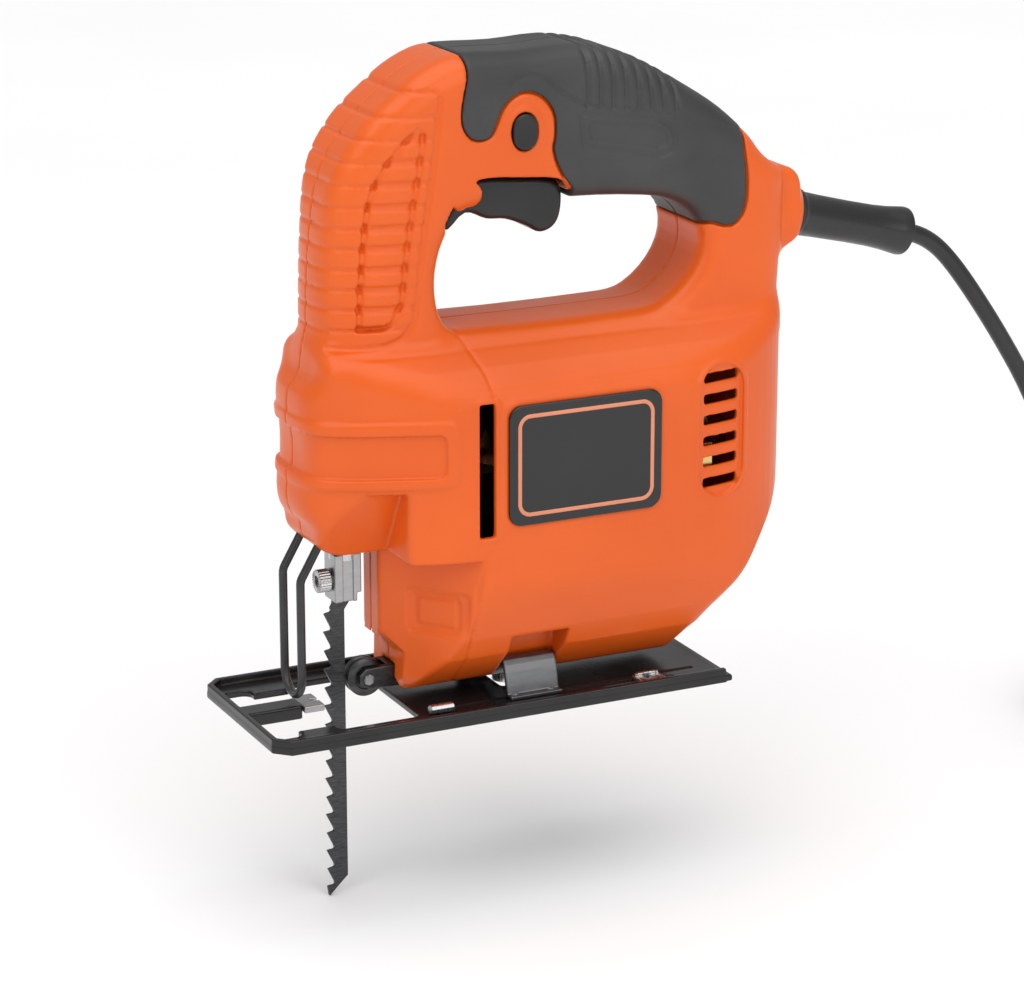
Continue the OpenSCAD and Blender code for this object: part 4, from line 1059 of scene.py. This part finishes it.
def make_roller(m):
    x, z = STROKE_X - 5.7, 8.6
    profile = [(-2.2, 4.9), (-1.8, 5.45), (-0.95, 5.45), (-0.7, 4.9), (0.7, 4.9), (0.95, 5.45),
               (1.8, 5.45), (2.2, 4.9), (2.2, 3.4), (1.9, 3.2), (1.9, 1.6), (-1.9, 1.6), (-1.9, 3.2),
               (-2.2, 3.4), (-2.2, 4.9)]
    roller = turned_piece("grooved_roller", (x, 0, z), (0, 1, 0), profile, m["dark_steel"], 56)
    finish_piece(roller, "roller", "steel", "support_roller")
    g = grid_round((18, -4.2, 5.6), (37, 4.2, 12), 0.2)
    shape = [(18, 12), (18, 5.6), (34, 5.6), (37, 7.4), (37, 10), (35, 11.8), (30, 12)]
    f = meet(g.side(outline(shape)), np.abs(g.y) - 4.15, 0.4)
    f = cut(f, box(g, 28.4, 40, -2.5, 2.5, 0, 20), 0.3)
    f = cut(f, rod(g, 1, -5, 5, 1.5, x, z))
    finish_piece(solid("roller_bracket", g, f, m["dark_steel"]), "body", "zinc", "roller_fork")


# Shoe -----------------------------------------------------------------------------------------
def make_shoe(m):
    rear, front, half = SHOE_REAR, SHOE_FRONT, SHOE_HALF
    g = grid_round((rear, -half, 0), (front, half, 4), 0.32)
    corners = [(rear, -half), (front - 4, -half), (front, 4 - half), (front, half - 4), (front - 4, half),
               (rear, half)]
    edge = g.plan(outline(corners))
    plate = meet(edge + 0.02, np.abs(g.z - 1) - 0.98, 0.5)
    upright = np.maximum(np.abs(edge + 0.85) - 0.83, np.maximum(np.abs(g.z - 2) - 1.98, rear + 2 - g.x))
    f = join(plate, upright, 0.5)
    # Shallow stiffening channels pressed along both sides
    for s in (-1, 1):
        f = cut(f, rod(g, 0, -60, 22, 1.0, s * 17.5, 2.55), 0.3)
    # Open frame round the centre bar
    windows = g.plan(rectangle(26, 50, -19.8, 19.8, 2.2))
    windows = np.minimum(windows, g.plan(rectangle(48, 61.2, -16, 16, 1.2)))
    windows = np.minimum(windows, g.plan(rectangle(60.6, 69.4, -20, 20, 2.6)))
    bar = soft_box(g, 54, front - 0.6, -3.5, 3.5, 0.02, 3.98, 0.5)
    f = np.minimum(cut(f, windows, 0.4), bar)
    f = cut(f, soft_box(g, SADDLE_X - 5, SADDLE_X + 5, -8, 8, -2, 6, 1.0), 0.3)
    for s in (-1, 1):
        f = cut(f, g.plan(rectangle(-52, -30, s * 22.2 - 1.2, s * 22.2 + 1.2, 1.1)), 0.3)
    finish_piece(solid("shoe_plate", g, f, m["enamel"]), "shoe_group", "shoe_paint", "shoe")


def make_saddle(m):
    """Bevel bracket: a half pipe round the spine, with tabs folded down and outwards to the shoe."""
    g = grid_round((SADDLE_X0, -20.6, 2), (SADDLE_X1, 20.6, 14.8), 0.24)
    arc = [(13.55 * math.sin(a), BEVEL_Z - 13.55 * math.cos(a)) for a in np.linspace(0, 1.06, 16)]
    fold = [(13.2, 12.0), (14.4, 11.6), (15.3, 10.4), (15.9, 8.8), (16.4, 7.0), (16.9, 5.0), (17.4, 2.78)]
    sheet = g.section(path(arc + fold)) - 0.75
    sheet = np.minimum(sheet, sheet[:, ::-1, :])
    from_middle = np.abs(g.x - SADDLE_X)
    f = meet(sheet, from_middle - (SADDLE_HALF - 0.02), 0.4)
    foot = np.maximum(np.abs(np.abs(g.y) - 18.3) - 2.2, np.abs(g.z - 2.5) - 0.5)
    f = np.minimum(f, np.maximum(foot, from_middle - (SADDLE_HALF - 0.1)))
    f = cut(f, box(g, SADDLE_X - 2.8, SADDLE_X + 2.8, -12.2, 12.2, 0, 11.6), 0.2)
    f = np.maximum(f, 2.0 - g.z)
    finish_piece(solid("bevel_bracket", g, f, m["bracket"]), "shoe_group", "zinc", "shoe_saddle")
    heads = []
    for x in (SADDLE_X0 + 2.4, SADDLE_X1 - 2.4):
        for s in (-1, 1):
            profile = [(0, 1.0), (2.7, 1.0), (2.7, 1.45), (2.95, 1.4), (3.15, 1.0), (3.2, 0.4)]
            heads.append(turned_piece("rivet", (x, s * 17.2, 0.3), (0, 0, 1), profile, m["steel"], 24))
    finish_piece(joined("bracket_rivets", heads), "shoe_group", "zinc", "saddle_rivets")


def make_shoe_fittings(m):
    g = grid_round((47.9, -5, 2), (54, 5, 4), 0.16)
    f = soft_box(g, 47.95, 53.95, -4.95, 4.95, 2.0, 3.95, 0.4)
    f = cut(f, soft_box(g, 45, 50.5, -1, 1, 0, 6, 0.2), 0.2)
    finish_piece(solid("insert_plate", g, f, m["zinc"]), "shoe_group", "alloy", "shoe_insert")
    clips, pins = [], []
    for s in (-1, 1):
        low, high = sorted((s * 19.5, s * 25.5))
        g = grid_round((-48, low, 2), (-39.5, high, 4.2), 0.16)
        f = soft_box(g, -47.95, -39.55, low + 0.05, high - 0.05, 2.0, 3.28, 0.35)
        f = np.minimum(f, soft_box(g, -47.4, -40.1, s * 20.3 - 0.75, s * 20.3 + 0.75, 2.5, 4.15, 0.4))
        f = cut(f, soft_box(g, -45, -42.5, s * 22.2 - 1.2, s * 22.2 + 1.2, 0, 6, 0.3), 0.2)
        f = engrave(f, np.abs(np.abs(g.x + 43.75) - 3.1), 0.3)
        clips.append(solid("clip", g, f, m["steel"]))
        profile = rod_profile(7.3, 1.38, 0.35)
        pins.append(turned_piece("pin", (16.2, s * 20.5, 3.4), (1, 0, 0), profile, m["steel"], 28))
    finish_piece(joined("guide_clips_folded", clips), "shoe_group", "zinc", "guide_clip")
    finish_piece(joined("guide_pins_turned", pins), "shoe_group", "zinc", "guide_pin")


# Springs: name, CAD node, joint that shortens it, fixed end, heading, length, coil radius, and the share
# of the length left at the limit
SPRINGS = [
    ("trigger_return_spring", "trigger_spring", "trigger_pull", (-7.5, 0, 152.35), (0, 0, -1), 3.3, 2.1,
     0.28),
    ("lock_return_spring", "lock_spring", "lock_push", (-7.6, 8.1, 161), (0, 1, 0), 3.1, 2.3, 0.03),
]


def make_springs(m):
    """Coil springs of the trigger and of the lock-on button."""
    steps = 84
    for name, node, joint, end, heading, length, radius, share in SPRINGS:
        across = (0, 0, 1) if heading[1] else (0, 1, 0)
        line = []
        for i in range(steps + 1):
            turn = 2 * math.pi * 3.5 * i / steps
            along = 0.3 + (length - 0.6) * i / steps
            line.append((end[0] + radius * math.cos(turn),
                         end[1] + heading[1] * along + across[1] * radius * math.sin(turn),
                         end[2] + heading[2] * along + across[2] * radius * math.sin(turn)))
        spring = wire(name, line, 0.25, m["steel"], 8)
        finish_piece(spring, "body", "steel", node)
        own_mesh(spring)


# Finishes of the parts kept from CAD -------------------------------------------------------------
CAD_FINISHES = {
    "steel": ["housing_screws", "trigger_pin", "bevel_screws", "roller_pin",
              "plunger_rod", "scotch_yoke", "gear_wheel", "crank_pin", "crank_roller", "gear_spindle",
              "armature_shaft", "front_bearing", "rear_bearing", "cord_clamp_screws"],
    "bronze": ["upper_bush", "lower_bush"],
    "alloy": ["gear_plate"],
    "laminations": ["armature_core", "field_core"],
    "copper": ["armature_windings", "field_coils", "commutator"],
    "black": ["fan", "fan_baffle", "trigger_switch", "cord_clamp"],
    "brass": ["brush_holders"],
    "carbon": ["carbon_brushes"],
    "plastic_cap": ["noise_capacitor"],
}


def finish_cad_parts(m):
    for key, names in CAD_FINISHES.items():
        for name in names:
            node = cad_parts[name]
            for material_slot in node.material_slots:
                material_slot.material = m[key]


# Stage ----------------------------------------------------------------------------------------
def make_stage():
    bpy.ops.mesh.primitive_plane_add(size=14, location=(0, 0, FLOOR_Z * MM))
    floor = bpy.context.object
    floor.name = "floor"
    material, nodes, links, shader = new_material("pale_floor")
    tone = add_ramp(nodes, links, add_noise(nodes, links, 3, 3), grey(0.93), grey(0.95))
    links.new(tone, shader.inputs["Base Color"])
    shader.inputs["Roughness"].default_value = 0.6
    floor.data.materials.append(material)


def add_light(name, location, target, size, power):
    data = bpy.data.lights.new(name, "AREA")
    data.shape = "RECTANGLE"
    data.size, data.size_y = size
    data.energy = power
    light = new_object(name, data)
    light.location = location
    light.rotation_euler = (Vector(target) - Vector(location)).to_track_quat("-Z", "Y").to_euler()


def light_scene():
    world = bpy.data.worlds.new("studio")
    bpy.context.scene.world = world
    world.use_nodes = True
    world.node_tree.nodes["Background"].inputs["Color"].default_value = (1, 1, 1, 1)
    world.node_tree.nodes["Background"].inputs["Strength"].default_value = 0.5
    sky = bpy.data.lights.new("overhead", "SUN")
    sky.energy = 1.9
    sky.angle = math.radians(75)
    overhead = new_object("overhead", sky)
    overhead.rotation_euler = (math.radians(-14), math.radians(6), 0)
    add_light("front", (1.1, 0.9, 0.8), (0, 0, 0.07), (0.7, 0.9), 3)
    add_light("side", (-0.4, 1.4, 0.7), (0, 0, 0.07), (0.9, 0.9), 4.5)
    bpy.context.scene.view_settings.view_transform = "Standard"


materials = make_materials()
add_camera()
make_cord(materials)
make_housing(materials)
make_trigger(materials)
make_springs(materials)
make_badges(materials)
make_guard(materials)
make_clamp(materials)
make_blade(materials)
make_roller(materials)
make_shoe(materials)
make_saddle(materials)
make_shoe_fittings(materials)
finish_cad_parts(materials)
make_stage()
light_scene()
